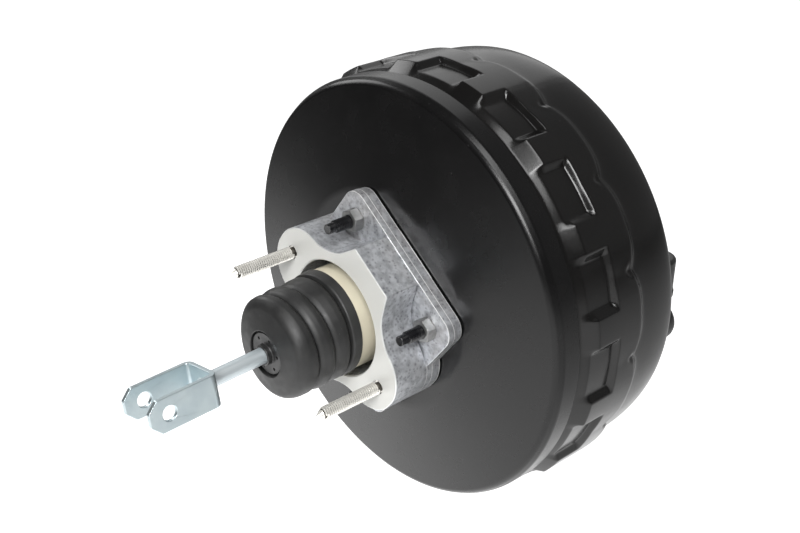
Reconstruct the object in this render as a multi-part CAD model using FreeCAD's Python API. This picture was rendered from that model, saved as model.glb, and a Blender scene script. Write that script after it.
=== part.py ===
import FreeCAD, Part
import math
import os
from FreeCAD import Vector

# Vacuum brake booster with its bulkhead spacer, in millimetres.
# The origin is the centre of the spacer's mounting face, on the booster's axis.
# +Y runs forward to the master cylinder, -Y back to the pedal, +Z is up.
# A profile is a list of (y, radius) corners, each with its own rounding where it has one.

# Fits shared by every piece
running_gap = 0.1          # radial gap of a piece that slides or turns in another
seat_gap = 0.3             # gap between soft pieces, sheet pieces and what carries them
press_gap = 0.02           # radial gap of a piece that is pressed or screwed home
hair = 0.05                # face gap between stacked pieces of one body

# Shells
sheet = 2.0                # sheet thickness of both shells
front_radius = 135.8       # drum of the front shell
band_step = 0.8            # the rear shell's side band lies this far inside the drum's surface
face_radius = 72.0         # edge of the rear shell's flat middle
face_rise = 11.0           # how far the rear shell's cone rises from its flat middle to its band
rear_corner = 9.0          # outside rounding between cone and side band
band_length = 19.0         # rear shell's side band, from the cone's corner to the groove
spigot_overlap = 34.0      # length of the rear shell inside the front shell's skirt
groove_width = 3.0         # open groove between the side band and the skirt's lip
front_length = 88.0        # front shell from its lip to its front annulus
front_corner = 8.0         # outside rounding of the front shell
shoulder_width = 6.0       # inner shoulder that the diaphragm's bead is clamped against
shoulder_height = 2.5
neck_radius = 38.0         # bore of the rear shell's inward neck
neck_length = 16.0

# Skirt of the front shell: lip, raised pads, pressed pockets and stakes
pocket_count = 15
pocket_phase = 9.0         # angle of the first pocket's middle, from +X towards +Z
pocket_width = 36.0
pocket_start = 5.5         # from the skirt's lip
pocket_length = 24.5
pocket_floor = 0.5         # how far the pocket's floor lies inside the drum's surface
lip_width = 5.0
lip_height = 1.4
pad_peak = 2.6             # height of a raised pad above the drum, at its middle
pad_valley = 0.7           # the same where two pads meet
pad_front = 21.0           # pad's length in front of the pocket, where two pads meet
pad_bulge = 5.0            # how much further forward a pad reaches at its middle
pad_slope = 7.0            # length of the pad's rear slope down to the lip
stake_radius = 5.0
stake_depth = 1.1
stake_place = 15.0         # in front of the pocket

# Front pad that carries the master cylinder
annulus_width = 55.8       # front shell's flat annulus, from the drum's surface in
pad_radius = 62.0          # corner of the front pad
pad_rise = 10.0            # the pad stands this far in front of the annulus
mouth_radius = 30.0        # opening for the master cylinder's nose
mouth_depth = 16.0
cylinder_stud_spacing = 96.0
cylinder_stud_reach = 26.0
stiffener_thickness = 3.0
stiffener_radius = 57.0

# Spacer between bulkhead and rear shell, in its own axes turned by adapter_turn
adapter_turn = 43.3        # the line through the bulkhead studs runs up and to the left
adapter_depth = 36.0
flange_thickness = 11.0
flange_half_width = 56.0   # across the line of the bulkhead studs
flange_half_length = 55.5  # along the line of the bulkhead studs
flange_corner = 10.5
flange_step = 0.5          # the flange's front part is this much smaller all round
flange_step_depth = 4.5
flat_half_length = 17.4    # half the side wall that runs flush down to the flange
waist_across = 29.9        # corner between the slanted wall and the lobe's side, before its rounding
waist_along = 27.8
scallop_radius = 33.0      # hollow round a shell stud
lobe_across = 20.3         # corner of the lobe's end, before its rounding
lobe_reach = 63.4
lobe_radius = 26.5
adapter_bore = 37.5
bore_chamfer = 0.8
gasket_thickness = 1.0
gasket_inset = 2.5

# Studs and nuts, M8
stud_radius = 4.0
stud_hole_gap = 0.4        # clearance round a stud that passes through a plate
bulkhead_stud_spacing = 100.5
bulkhead_stud_reach = 47.5
bulkhead_stud_grip = 22.0
bulkhead_stud_point = 5.0
stud_seat_radius = 4.4     # part of a stud that is pressed in its plate
stud_relief_radius = 3.4   # relief between seat and thread
stud_relief_length = 0.25
stud_lead = 1.0            # lead at a stud's end
shell_stud_spacing_across = 82.4
shell_stud_spacing_along = 80.6
shell_stud_recess = 1.5    # the stud's end stays this far inside the mounting face
dog_radius = 2.9
dog_length = 4.5
stud_head_radius = 8.0
stud_head_height = 2.5
nut_flats = 13.0
nut_height = 6.8

# Valve body and what it carries
hub_radius = 32.5
hub_start = -5.5           # shoulder that the boot's base meets
boot_spigot_radius = 27.4
boot_spigot_length = 6.0
hub_bore = 25.0
valve_chamber = 22.0
plunger_radius = 10.0
plunger_waist = 5.5
plunger_flange = 13.0
plunger_flange_thickness = 4.0
key_thickness = 3.0        # stop key between valve body and plunger
key_width = 43.0
key_top = 6.0
key_bottom = -9.0
key_reach = 12.0           # from the plunger's ball to the key
nose_radius = 24.0
disc_radius = 16.0
disc_thickness = 6.8
valve_flange_radius = 44.0
valve_flange_thickness = 6.0
plate_gap = 8.0            # from the neck's end to the diaphragm plate's back
chamber_start = 38.0       # back of the chamber that holds the control valve
chamber_end = 50.0
cup_start = 86.0           # back of the cup that holds the reaction disc
output_head = 3.2          # thickness of the output rod's head
output_radius = 6.0
output_tip_radius = 4.5
output_tip_length = 9.0
output_reach = 12.0        # in front of the front pad
cap_sheet = 1.2            # sheet of the cap that holds the output rod
retainer_sheet = 1.6
retainer_depth = 7.0
retainer_bore = 9.0
poppet_radius = 15.5       # rubber lip of the control valve
poppet_bore = 8.4
poppet_lip = 2.0
poppet_lift = 6.0          # the lip's face lies this far behind the chamber's end
seal_width = 7.5           # rubber seal round the valve body
seal_lip = 2.0
filter_bore = 15.5
filter_length = 12.0
valve_travel = 1.6

# Diaphragm and plate
plate_radius = 112.0
plate_rim = 10.0
rubber = 2.0               # wall of the diaphragm and of the boot
bead_width = 7.0
bead_height = 7.5

# Push rod and clevis
pivot_y = 60.0             # centre of the rod's ball in the plunger
droop = 1.85               # the rod rests this many degrees below the axis
ball_radius = 6.0
ball_gap = 0.2
rod_radius = 5.0
rod_neck_radius = 3.9
rod_neck_length = 24.0
clevis_back = 154.5        # from the ball's centre to the clevis's back face
clevis_length = 46.0
clevis_width = 30.0
clevis_height = 20.0
clevis_plate = 3.0
clevis_bend = 5.0
clevis_chamfer = 6.0
pin_hole_radius = 4.5
pin_to_tip = 12.5
tenon_radius = 3.5
seat_place = 48.0          # from the ball's centre to the input spring's seat
seat_radius = 15.0
seat_thickness = 1.5
vent_place = 110.2         # from the ball's centre to the vent disc's front
vent_radius = 12.9
vent_thickness = 2.6
vent_collar_radius = 6.4
vent_collar_length = 2.6
vent_hole_radius = 1.0
vent_hole_circle = 10.3
vent_hole_count = 6

# Boot
boot_end = -53.4
boot_base_radius = 32.9
boot_base_width = 2.8
fold_count = 3             # the last one is the boot's end
fold_radius = 32.7
fold_depth = 4.1
fold_pitch = 14.4
first_valley = -9.8
fold_rise = 1.4            # from a valley back to the fold's shoulder
fold_peak = 4.9            # from a valley back to the fold's largest radius
boot_end_radius = 16.0     # flat end round the vent disc
boot_end_wall = 2.2

# Check valve on the front annulus
check_edge = 26.3          # from the drum's surface in to the valve's axis
check_angle = -22.5
check_body_radius = 14.5
check_body_height = 25.0
check_dome = 13.5
check_dome_rounding = 8.0
check_base_height = 11.0   # straight part of the body under the dome
check_bore = 9.5
check_wall = 2.5
check_seat = 3.0           # floor that the disc closes on
check_port = 4.0
check_stem = 6.0
check_stem_length = 7.0
check_disc_radius = 8.5
check_disc_thickness = 1.6
check_guide_radius = 2.2
check_guide_length = 5.0
grommet_hole = 10.5
grommet_flange = 17.0
grommet_thickness = 4.0
grommet_bore = 6.5
grommet_hook = 3.0         # how far the grommet's hidden bead reaches past its hole
nipple_height = 19.0       # of the nipple's axis above the annulus
nipple_angle = 80.0
nipple_radius = 4.75
nipple_wall = 1.6
barb_height = 0.9
barb_length = 5.0
nipple_reach = 44.0
cap_radius = 9.0
cap_start = 22.0
cap_length = 27.0
cap_rounding = 2.5

# Springs
wire_sides = 6
return_wire = 2.0
return_coil = 36.0
return_turns = 5
input_wire = 0.9
input_coil = 13.0
input_turns = 5
poppet_wire = 0.7
poppet_coil = 10.5
poppet_turns = 3
check_wire = 0.5
check_coil = 6.0
check_turns = 4

# Places worked out from the sizes above
rear_radius = front_radius - band_step
annulus_inner = front_radius - annulus_width
check_radius = front_radius - check_edge
shell_face = adapter_depth + gasket_thickness
band_start = shell_face + face_rise
groove_start = band_start + band_length
lip_start = groove_start + groove_width
skirt_bore = front_radius - sheet + 0.4
spigot_radius = skirt_bore - seat_gap
spigot_end = lip_start + spigot_overlap
pocket_front = lip_start + pocket_start + pocket_length
bead_start = spigot_end + hair
shoulder_start = bead_start + bead_width + hair
annulus = lip_start + front_length
front_pad = annulus + pad_rise
neck_end = shell_face + neck_length
plate_start = neck_end + plate_gap
valve_flange_start = plate_start + sheet + hair
nose_start = valve_flange_start + valve_flange_thickness
nose_end = cup_start + disc_thickness + hair + output_head - seat_gap
stiffener_front = front_pad - sheet - hair
retainer_start = chamber_start - retainer_depth
valve_face = chamber_end - poppet_lift
key_place = pivot_y + ball_radius + key_reach
pocket_step = 360.0 / pocket_count


def arc_corner(before, corner, after, radius):
    """Tangent arc that rounds one corner: its start, middle and end."""
    one = (before - corner)
    two = (after - corner)
    half = one.getAngle(two) / 2.0
    reach = min(radius / math.tan(half), one.Length * 0.499, two.Length * 0.499)
    radius = reach * math.tan(half)
    start = corner + Vector(one).normalize() * reach
    end = corner + Vector(two).normalize() * reach
    inward = (Vector(one).normalize() + Vector(two).normalize()).normalize()
    middle = corner + inward * (radius / math.sin(half) - radius)
    return start, middle, end


def outline(corners, place):
    """Closed face through (a, b) or (a, b, rounding) corners; place maps (a, b) to a point."""
    points = [place(c[0], c[1]) for c in corners]
    edges = []
    ends = []
    for i, corner in enumerate(corners):
        if len(corner) == 3 and corner[2] > 0:
            following = points[(i + 1) % len(points)]
            ends.append(arc_corner(points[i - 1], points[i], following, corner[2]))
        else:
            ends.append((points[i], None, points[i]))
    for i, (start, middle, end) in enumerate(ends):
        if middle is not None:
            edges.append(Part.Arc(start, middle, end).toShape())
        following = ends[(i + 1) % len(ends)][0]
        if (following - end).Length > 1e-6:
            edges.append(Part.LineSegment(end, following).toShape())
    return Part.Face(Part.Wire(edges))


def turned(corners):
    """Solid of revolution about the booster's axis from (y, radius) corners."""
    face = outline(corners, lambda y, r: Vector(r, y, 0))
    return face.revolve(Vector(0, 0, 0), Vector(0, 1, 0), 360)


def tube(inner, outer, start, end):
    return turned([(start, inner), (start, outer), (end, outer), (end, inner)])


def rod(radius, start, end, x=0.0, z=0.0):
    return Part.makeCylinder(radius, end - start, Vector(x, start, z), Vector(0, 1, 0))


def cone(start_radius, end_radius, start, end, x=0.0, z=0.0):
    return Part.makeCone(start_radius, end_radius, end - start, Vector(x, start, z), Vector(0, 1, 0))


def swung(shape, angle):
    """Copy of a shape turned about the booster's axis, from +X towards +Z."""
    copy = shape.copy()
    copy.rotate(Vector(0, 0, 0), Vector(0, 1, 0), -angle)
    return copy


def drooped(shape):
    """Copy of a rod piece, turned down about the ball's centre."""
    copy = shape.copy()
    copy.rotate(Vector(0, pivot_y, 0), Vector(1, 0, 0), droop)
    return copy


def spread(places, piece):
    return Part.makeCompound([piece(x, z) for x, z in places])


def coil(mean_radius, wire, start, end, turns):
    """Compression spring along the booster's axis between two seats, its wire drawn with flat sides."""
    height = end - start - 2.0 * wire
    helix = Part.makeHelix(height / turns, height, mean_radius)
    corners = []
    for i in range(wire_sides + 1):
        angle = 2 * math.pi * i / wire_sides
        corners.append(Vector(mean_radius + wire * math.cos(angle), 0, wire * math.sin(angle)))
    spring = Part.Wire(helix).makePipeShell([Part.makePolygon(corners)], True, True)
    spring.rotate(Vector(0, 0, 0), Vector(1, 0, 0), -90)
    spring.translate(Vector(0, start + wire, 0))
    return spring


def adapter_point(across, along, y):
    """Point of the spacer's own axes: across and along the line of the bulkhead studs."""
    turn = math.radians(adapter_turn)
    x = across * math.cos(turn) - along * math.sin(turn)
    z = across * math.sin(turn) + along * math.cos(turn)
    return Vector(x, y, z)


def adapter_places(across, along):
    spots = [(a, b) for a in ([across, -across] if across else [0]) for b in (along, -along)]
    return [(adapter_point(a, b, 0).x, adapter_point(a, b, 0).z) for a, b in spots]


bulkhead_stud_places = adapter_places(0, bulkhead_stud_spacing / 2)
shell_stud_places = adapter_places(shell_stud_spacing_across / 2, shell_stud_spacing_along / 2)
cylinder_stud_places = [(-cylinder_stud_spacing / 2, 0), (cylinder_stud_spacing / 2, 0)]
check_x = check_radius * math.cos(math.radians(check_angle))
check_z = check_radius * math.sin(math.radians(check_angle))


def adapter_plate(corners, start, end):
    face = outline(corners, lambda a, b: adapter_point(a, b, start))
    return face.extrude(Vector(0, end - start, 0))


def four_ways(quarter):
    """Outline of the spacer from its quarter, mirrored across both of its axes."""
    top = quarter + [(-c[0],) + c[1:] for c in reversed(quarter)]
    return top + [(c[0], -c[1]) + c[2:] for c in reversed(top)]


def flange_outline(inset):
    corner = (flange_half_width - inset, flange_half_length - inset, flange_corner)
    return four_ways([corner])


def lobed_outline(inset):
    return four_ways([
        (flange_half_width - inset, flat_half_length - inset / 2, bore_chamfer),
        (waist_across - inset, waist_along - inset / 2, scallop_radius),
        (lobe_across - inset / 2, lobe_reach - inset, lobe_radius - inset)])


def mounting_adapter():
    body = adapter_plate(lobed_outline(0), 0, adapter_depth)
    flange_start = adapter_depth - flange_thickness
    flange = adapter_plate(flange_outline(0), flange_start + flange_step_depth, adapter_depth)
    step = adapter_plate(flange_outline(flange_step), flange_start, adapter_depth)
    bore = rod(adapter_bore, 0, adapter_depth)
    lead = cone(adapter_bore + bore_chamfer, adapter_bore, 0, bore_chamfer)
    cutters = [bore, lead]
    for x, z in bulkhead_stud_places:
        cutters.append(rod(stud_seat_radius + press_gap, 0, bulkhead_stud_grip + hair, x, z))
    for x, z in shell_stud_places:
        cutters.append(rod(stud_radius + stud_hole_gap, 0, adapter_depth, x, z))
    return body.fuse([flange, step]).cut(cutters).removeSplitter()


def adapter_gasket():
    start, end = adapter_depth, shell_face
    body = adapter_plate(lobed_outline(gasket_inset), start, end)
    plate = adapter_plate(flange_outline(gasket_inset), start, end)
    cutters = [rod(adapter_bore + gasket_inset, start, end)]
    for x, z in shell_stud_places:
        cutters.append(rod(stud_radius + stud_hole_gap, start, end, x, z))
    return body.fuse(plate).cut(cutters).removeSplitter()


def rear_shell():
    inner = sheet
    profile = [
        (neck_end, neck_radius),
        (shell_face, neck_radius, 2),
        (shell_face, face_radius, 12),
        (band_start, rear_radius, rear_corner),
        (groove_start, rear_radius, 1.5),
        (groove_start + groove_width * 0.6, spigot_radius),
        (spigot_end, spigot_radius),
        (spigot_end, spigot_radius - inner),
        (groove_start - 1, spigot_radius - inner),
        (band_start + inner * 0.9, rear_radius - inner - 1, rear_corner - inner),
        (shell_face + inner, face_radius),
        (shell_face + inner, neck_radius + inner),
        (neck_end, neck_radius + inner)]
    shell = turned(profile)
    holes = [rod(stud_radius + press_gap, shell_face - 1, neck_end, x, z) for x, z in shell_stud_places]
    return shell.cut(holes)


def skirt_pads():
    """Ring of raised pads, one between each two pockets, with arched front edges."""
    half = math.radians(pocket_step / 2)
    peak = front_radius + pad_peak
    valley = front_radius + pad_valley
    root = front_radius - sheet / 2
    start = lip_start + lip_width - 1
    front = pocket_front + pad_front
    end = front + pad_bulge
    edges = []
    for i in range(pocket_count):
        middle = math.radians(pocket_phase + (i + 0.5) * pocket_step)
        spots = [(valley, middle - half), (peak, middle), (valley, middle + half)]
        points = [Vector(r * math.cos(t), start, r * math.sin(t)) for r, t in spots]
        edges.append(Part.Arc(*points).toShape())
    ring = Part.Face(Part.Wire(Part.__sortEdges__(edges))).extrude(Vector(0, end + 1 - start, 0))
    slope = turned([
        (start, root - 0.5), (start, root), (start + pad_slope, peak + 0.5),
        (end + 2, peak + 0.5), (end + 2, root - 0.5)])
    width = valley * math.sin(half)
    low = root - 4
    arch = Part.Arc(Vector(low, front, width), Vector(low, end, 0), Vector(low, front, -width))
    corners = [Vector(low, front, -width), Vector(low, end + 3, -width - 1),
               Vector(low, end + 3, width + 1), Vector(low, front, width)]
    sides = [Part.LineSegment(corners[i], corners[i + 1]).toShape() for i in range(3)]
    nose = Part.Face(Part.Wire([arch.toShape()] + sides)).extrude(Vector(10, 0, 0))
    noses = [swung(nose, pocket_phase + (i + 0.5) * pocket_step) for i in range(pocket_count)]
    return ring.common(slope).cut(noses)


def pocket_cutters():
    start = lip_start + pocket_start
    half = pocket_width / 2
    corners = [(start, -half, 1), (pocket_front, -half, 1), (pocket_front, half, 1), (start, half, 1)]
    face = outline(corners, lambda y, z: Vector(front_radius - 4 * sheet, y, z))
    block = face.extrude(Vector(8 * sheet, 0, 0))
    block = block.cut(rod(front_radius - pocket_floor, start - 1, pocket_front + 1))
    return [swung(block, pocket_phase + i * pocket_step) for i in range(pocket_count)]


def stake_cutters():
    place = front_radius + pad_valley + stake_radius - stake_depth
    ball = Part.makeSphere(stake_radius, Vector(place, pocket_front + stake_place, 0))
    return [swung(ball, pocket_phase + i * pocket_step) for i in range(pocket_count)]


def front_shell():
    inner = front_radius - sheet
    profile = [
        (lip_start, skirt_bore),
        (lip_start, front_radius + lip_height, 0.8),
        (lip_start + lip_width - 0.6, front_radius + lip_height),
        (lip_start + lip_width, front_radius),
        (annulus, front_radius, front_corner),
        (annulus, annulus_inner, 6),
        (front_pad, pad_radius, 6),
        (front_pad, mouth_radius),
        (front_pad - mouth_depth, mouth_radius),
        (front_pad - mouth_depth, mouth_radius + sheet),
        (front_pad - sheet, mouth_radius + sheet),
        (front_pad - sheet, pad_radius - sheet * 0.6),
        (annulus - sheet, annulus_inner - sheet * 0.6),
        (annulus - sheet, inner, front_corner - sheet),
        (shoulder_start + shoulder_width, inner),
        (shoulder_start + shoulder_width, inner - shoulder_height),
        (shoulder_start, inner - shoulder_height),
        (shoulder_start, skirt_bore)]
    shell = turned(profile)
    shell = shell.fuse(skirt_pads())
    cutters = pocket_cutters() + stake_cutters()
    for x, z in cylinder_stud_places:
        cutters.append(rod(stud_seat_radius + press_gap, stiffener_front - 1, front_pad + 1, x, z))
    cutters.append(rod(grommet_hole, annulus - 4 * sheet, annulus + 1, check_x, check_z))
    return shell.cut(cutters).removeSplitter()


def stiffener_plate():
    """Plate behind the front pad that spreads the load of the master cylinder's studs."""
    back = stiffener_front - stiffener_thickness
    plate = tube(mouth_radius + sheet + seat_gap, stiffener_radius, back, stiffener_front)
    hole = stud_seat_radius + press_gap
    return plate.cut([rod(hole, back, front_pad, x, z) for x, z in cylinder_stud_places])


def cylinder_stud(x, z):
    back = stiffener_front - stiffener_thickness - hair
    head = rod(stud_head_radius, back - stud_head_height, back, x, z)
    tip = front_pad + cylinder_stud_reach
    lead = tip - stud_lead
    thread_start = front_pad + stud_relief_length
    seat = rod(stud_seat_radius, back, front_pad - stud_relief_length / 2, x, z)
    relief = rod(stud_relief_radius, back, thread_start, x, z)
    shank = rod(stud_radius, thread_start, lead, x, z)
    return head.fuse([seat, relief, shank, cone(stud_radius, stud_radius - stud_lead, lead, tip, x, z)])


def bulkhead_stud(x, z):
    shoulder = bulkhead_stud_point - bulkhead_stud_reach
    lead = shoulder - stud_lead
    seat = rod(stud_seat_radius, stud_relief_length / 2, bulkhead_stud_grip, x, z)
    relief = rod(stud_relief_radius, -stud_relief_length, bulkhead_stud_grip, x, z)
    shank = rod(stud_radius, shoulder, -stud_relief_length, x, z)
    point = cone(stud_radius / 8, stud_radius * 0.75, -bulkhead_stud_reach, lead, x, z)
    chamfer = cone(stud_radius * 0.75, stud_radius, lead, shoulder, x, z)
    return shank.fuse([relief, seat, point, chamfer])


def shell_stud(x, z):
    seat = shell_face + sheet + hair
    head = rod(stud_head_radius, seat, seat + stud_head_height, x, z)
    dog_end = shell_stud_recess + dog_length
    shank = rod(stud_radius, dog_end + stud_lead, seat, x, z)
    lead = cone(dog_radius, stud_radius, dog_end, dog_end + stud_lead, x, z)
    dog = rod(dog_radius, shell_stud_recess, dog_end, x, z)
    return head.fuse([shank, lead, dog]).removeSplitter()


def adapter_nut(x, z):
    seat = adapter_depth - flange_thickness
    across_corners = nut_flats / math.cos(math.radians(30))
    corners = []
    for i in range(6):
        angle = math.radians(60 * i + adapter_turn)
        corners.append((x + across_corners / 2 * math.cos(angle), z + across_corners / 2 * math.sin(angle)))
    block = outline(corners, lambda a, b: Vector(a, seat - nut_height, b)).extrude(Vector(0, nut_height, 0))
    crown = cone(nut_flats / 2 * 0.98, nut_flats / 2 * 0.98 + nut_height * 2, seat - nut_height, seat, x, z)
    return block.common(crown).cut(rod(stud_radius + press_gap, seat - nut_height, seat, x, z))


def hub_seal():
    """Rubber seal in the rear shell's neck, with a lip on the valve body."""
    start = shell_face + sheet
    end = start + seal_width
    lip = start + seal_lip
    bore = hub_radius + running_gap
    return turned([
        (start, neck_radius - hair), (start, bore + seal_lip), (lip, bore), (lip + seal_lip, bore),
        (lip + 1.5 * seal_lip, bore + seal_lip), (end, bore + seal_lip), (end, neck_radius - hair)])


def hub_bush():
    start = shell_face + sheet + seal_width + hair
    return tube(hub_radius + running_gap, neck_radius - hair, start, neck_end)


def valve_body():
    key_half = key_thickness / 2 + running_gap
    profile = [
        (hub_start - boot_spigot_length, hub_bore),
        (hub_start - boot_spigot_length, boot_spigot_radius),
        (hub_start, boot_spigot_radius),
        (hub_start, hub_radius),
        (valve_flange_start, hub_radius),
        (valve_flange_start, valve_flange_radius),
        (nose_start, valve_flange_radius),
        (nose_start, nose_radius),
        (nose_end, nose_radius),
        (nose_end, disc_radius + running_gap),
        (cup_start, disc_radius + running_gap),
        (cup_start, plunger_radius + running_gap),
        (chamber_end, plunger_radius + running_gap),
        (chamber_end, valve_chamber),
        (chamber_start, valve_chamber),
        (chamber_start, hub_bore)]
    body = turned(profile)
    slot = Part.makeBox(
        2 * nose_radius + 4, 2 * key_half, key_top - key_bottom + 2 * running_gap,
        Vector(-nose_radius - 2, key_place - key_half, key_bottom - running_gap))
    return body.cut(slot)


def plunger():
    """Valve plunger: ball socket, atmospheric seat and the groove for the stop key."""
    back = valve_face
    front = cup_start - valve_travel - seat_gap
    groove_back = key_place - key_thickness / 2 - valve_travel - seat_gap
    groove_front = key_place + key_thickness / 2 + seat_gap
    profile = [
        (back, ball_radius + ball_gap),
        (back, plunger_flange),
        (back + plunger_flange_thickness, plunger_flange),
        (back + plunger_flange_thickness, plunger_radius),
        (groove_back, plunger_radius),
        (groove_back, plunger_waist),
        (groove_front, plunger_waist),
        (groove_front, plunger_radius),
        (front, plunger_radius),
        (front, 0),
        (pivot_y, 0),
        (pivot_y, ball_radius + ball_gap)]
    socket = Part.makeSphere(ball_radius + ball_gap, Vector(0, pivot_y, 0))
    return turned(profile).cut(socket)


def stop_key():
    """Flat key through the valve body that limits the plunger's travel."""
    back = key_place - key_thickness / 2
    corner = Vector(-key_width / 2, back, key_bottom)
    bar = Part.makeBox(key_width, key_thickness, key_top - key_bottom, corner)
    half = plunger_waist + seat_gap
    notch = Part.makeBox(2 * half, key_thickness, key_top + half, Vector(-half, back, -half))
    return bar.cut([notch])


def reaction_disc():
    return turned([
        (cup_start + hair, 0), (cup_start + hair, disc_radius),
        (cup_start + disc_thickness, disc_radius), (cup_start + disc_thickness, 0)])


def output_rod():
    head = cup_start + disc_thickness + hair
    rim = disc_radius - seat_gap
    tip = front_pad + output_reach
    step = tip - output_tip_length
    return turned([
        (head, 0), (head, rim), (head + output_head, rim), (head + output_head, output_radius),
        (step - 1, output_radius), (step, output_tip_radius), (tip, output_tip_radius, 4), (tip, 0)])


def rod_retainer():
    """Pressed cap that holds the output rod's head against the reaction disc."""
    start = key_place + key_thickness - 0.5
    front = nose_end + seat_gap + hair
    wall = nose_radius + cap_sheet
    return turned([
        (start, nose_radius + hair), (start, wall + cap_sheet), (start + cap_sheet, wall + cap_sheet),
        (start + cap_sheet, wall), (front + cap_sheet, wall), (front + cap_sheet, disc_radius * 0.6),
        (front, disc_radius * 0.6), (front, nose_radius + hair)])


def diaphragm_plate():
    rim = plate_start + plate_rim
    return turned([
        (plate_start, hub_radius + seat_gap), (plate_start, plate_radius, 5),
        (rim, plate_radius), (rim, plate_radius - sheet),
        (plate_start + sheet, plate_radius - sheet), (plate_start + sheet, hub_radius + seat_gap)])


def diaphragm():
    """Rubber diaphragm: bead round the hub, disc behind the plate and a sleeve to the clamped bead."""
    back = plate_start - hair - rubber
    sleeve = plate_radius + 0.5
    end = bead_start + bead_width
    bead_bottom = spigot_radius - bead_height
    return turned([
        (back - 1.5, hub_radius + hair), (back - 1.5, hub_radius + 5), (back, hub_radius + 6),
        (back, sleeve + rubber), (bead_start, bead_bottom + rubber),
        (bead_start, spigot_radius - hair), (end, spigot_radius - hair), (end, bead_bottom),
        (back + rubber + 4, sleeve), (plate_start - hair, plate_radius - 2),
        (plate_start - hair, hub_radius + hair)])


def air_filter():
    end = retainer_start - 1.0
    return tube(filter_bore, hub_bore - seat_gap, end - filter_length, end)


def valve_retainer():
    """Pressed ring that clamps the control valve and seats the input spring."""
    start = retainer_start
    wall = hub_bore - press_gap - retainer_sheet
    return turned([
        (start, retainer_bore),
        (start, hub_bore - press_gap),
        (chamber_start - hair, hub_bore - press_gap),
        (chamber_start - hair, wall),
        (start + retainer_sheet, wall),
        (start + retainer_sheet, retainer_bore)])


def control_valve():
    """Rubber poppet whose lip closes on the plunger and on the valve body."""
    face = valve_face - hair
    back = chamber_start
    rim = valve_chamber - hair
    return turned([
        (back, rim - 2.5 * poppet_lip),
        (back, rim),
        (back + 1.5 * poppet_lip, rim),
        (back + 1.5 * poppet_lip, rim - 1.2 * poppet_lip),
        (face - poppet_lip * 0.8, poppet_radius),
        (face, poppet_radius),
        (face, poppet_bore),
        (face - poppet_lip, poppet_bore),
        (face - poppet_lip, poppet_radius - poppet_lip * 0.85),
        (back + poppet_lip * 0.6, rim - 2.5 * poppet_lip)])


def poppet_spring():
    start = retainer_start + retainer_sheet + hair
    return coil(poppet_coil, poppet_wire, start, valve_face - poppet_lip - 2 * hair, poppet_turns)


def input_spring():
    start = pivot_y - seat_place + seat_gap
    return coil(input_coil, input_wire, start, retainer_start - hair, input_turns)


def return_spring():
    start = nose_start + hair
    end = stiffener_front - stiffener_thickness - hair
    return coil(return_coil, return_wire, start, end, return_turns)


def push_rod():
    """Ball, neck, shank and the tenon that is riveted in the clevis."""
    back = pivot_y - clevis_back
    neck = pivot_y - rod_neck_length
    shank = turned([
        (back - clevis_plate - 0.6, 0), (back - clevis_plate - 0.6, tenon_radius),
        (back, tenon_radius), (back, rod_radius), (neck, rod_radius),
        (neck + 2, rod_neck_radius), (pivot_y - 2, rod_neck_radius), (pivot_y - 2, 0)])
    ball = Part.makeSphere(ball_radius, Vector(0, pivot_y, 0))
    return drooped(shank.fuse(ball).removeSplitter())


def clevis():
    """Bent U of flat bar with chamfered tips and the pedal pin's hole through both ears."""
    back = pivot_y - clevis_back - hair
    tip = back - clevis_length
    half = clevis_width / 2
    inner = half - clevis_plate
    bend = clevis_bend
    section = [
        (-half, tip), (-half, back, bend), (half, back, bend), (half, tip),
        (inner, tip), (inner, back - clevis_plate, bend - clevis_plate),
        (-inner, back - clevis_plate, bend - clevis_plate), (-inner, tip)]
    top = clevis_height / 2
    bar = outline(section, lambda x, y: Vector(x, y, -top)).extrude(Vector(0, 0, clevis_height))
    cut = clevis_chamfer
    side = [
        (tip, cut - top), (tip + cut, -top), (back, -top), (back, top), (tip + cut, top), (tip, top - cut)]
    shape = outline(side, lambda y, z: Vector(-half, y, z)).extrude(Vector(clevis_width, 0, 0))
    pin = Part.makeCylinder(
        pin_hole_radius, clevis_width + 2, Vector(-half - 1, tip + pin_to_tip, 0), Vector(1, 0, 0))
    tenon = rod(tenon_radius + press_gap, back - clevis_plate - 1, back + 1)
    return drooped(bar.common(shape).cut([pin, tenon]))


def input_spring_seat():
    place = pivot_y - seat_place
    return drooped(turned([
        (place - seat_thickness, rod_radius + running_gap), (place - seat_thickness, seat_radius),
        (place, seat_radius), (place, rod_radius + 3), (place + 3, rod_radius + 3),
        (place + 3, rod_radius + running_gap)]))


def vent_disc():
    """Perforated disc in the boot's end, with a collar round the rod."""
    front = pivot_y - vent_place
    back = front - vent_thickness
    bore = rod_radius + running_gap
    disc = tube(bore, vent_radius, back, front)
    disc = disc.fuse(tube(bore, vent_collar_radius, back - vent_collar_length, front))
    holes = []
    for i in range(vent_hole_count):
        angle = math.radians(360.0 / vent_hole_count * i)
        x = vent_hole_circle * math.cos(angle)
        z = vent_hole_circle * math.sin(angle)
        holes.append(rod(vent_hole_radius, back - 1, front + 1, x, z))
    return drooped(disc.cut(holes).removeSplitter())


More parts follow.
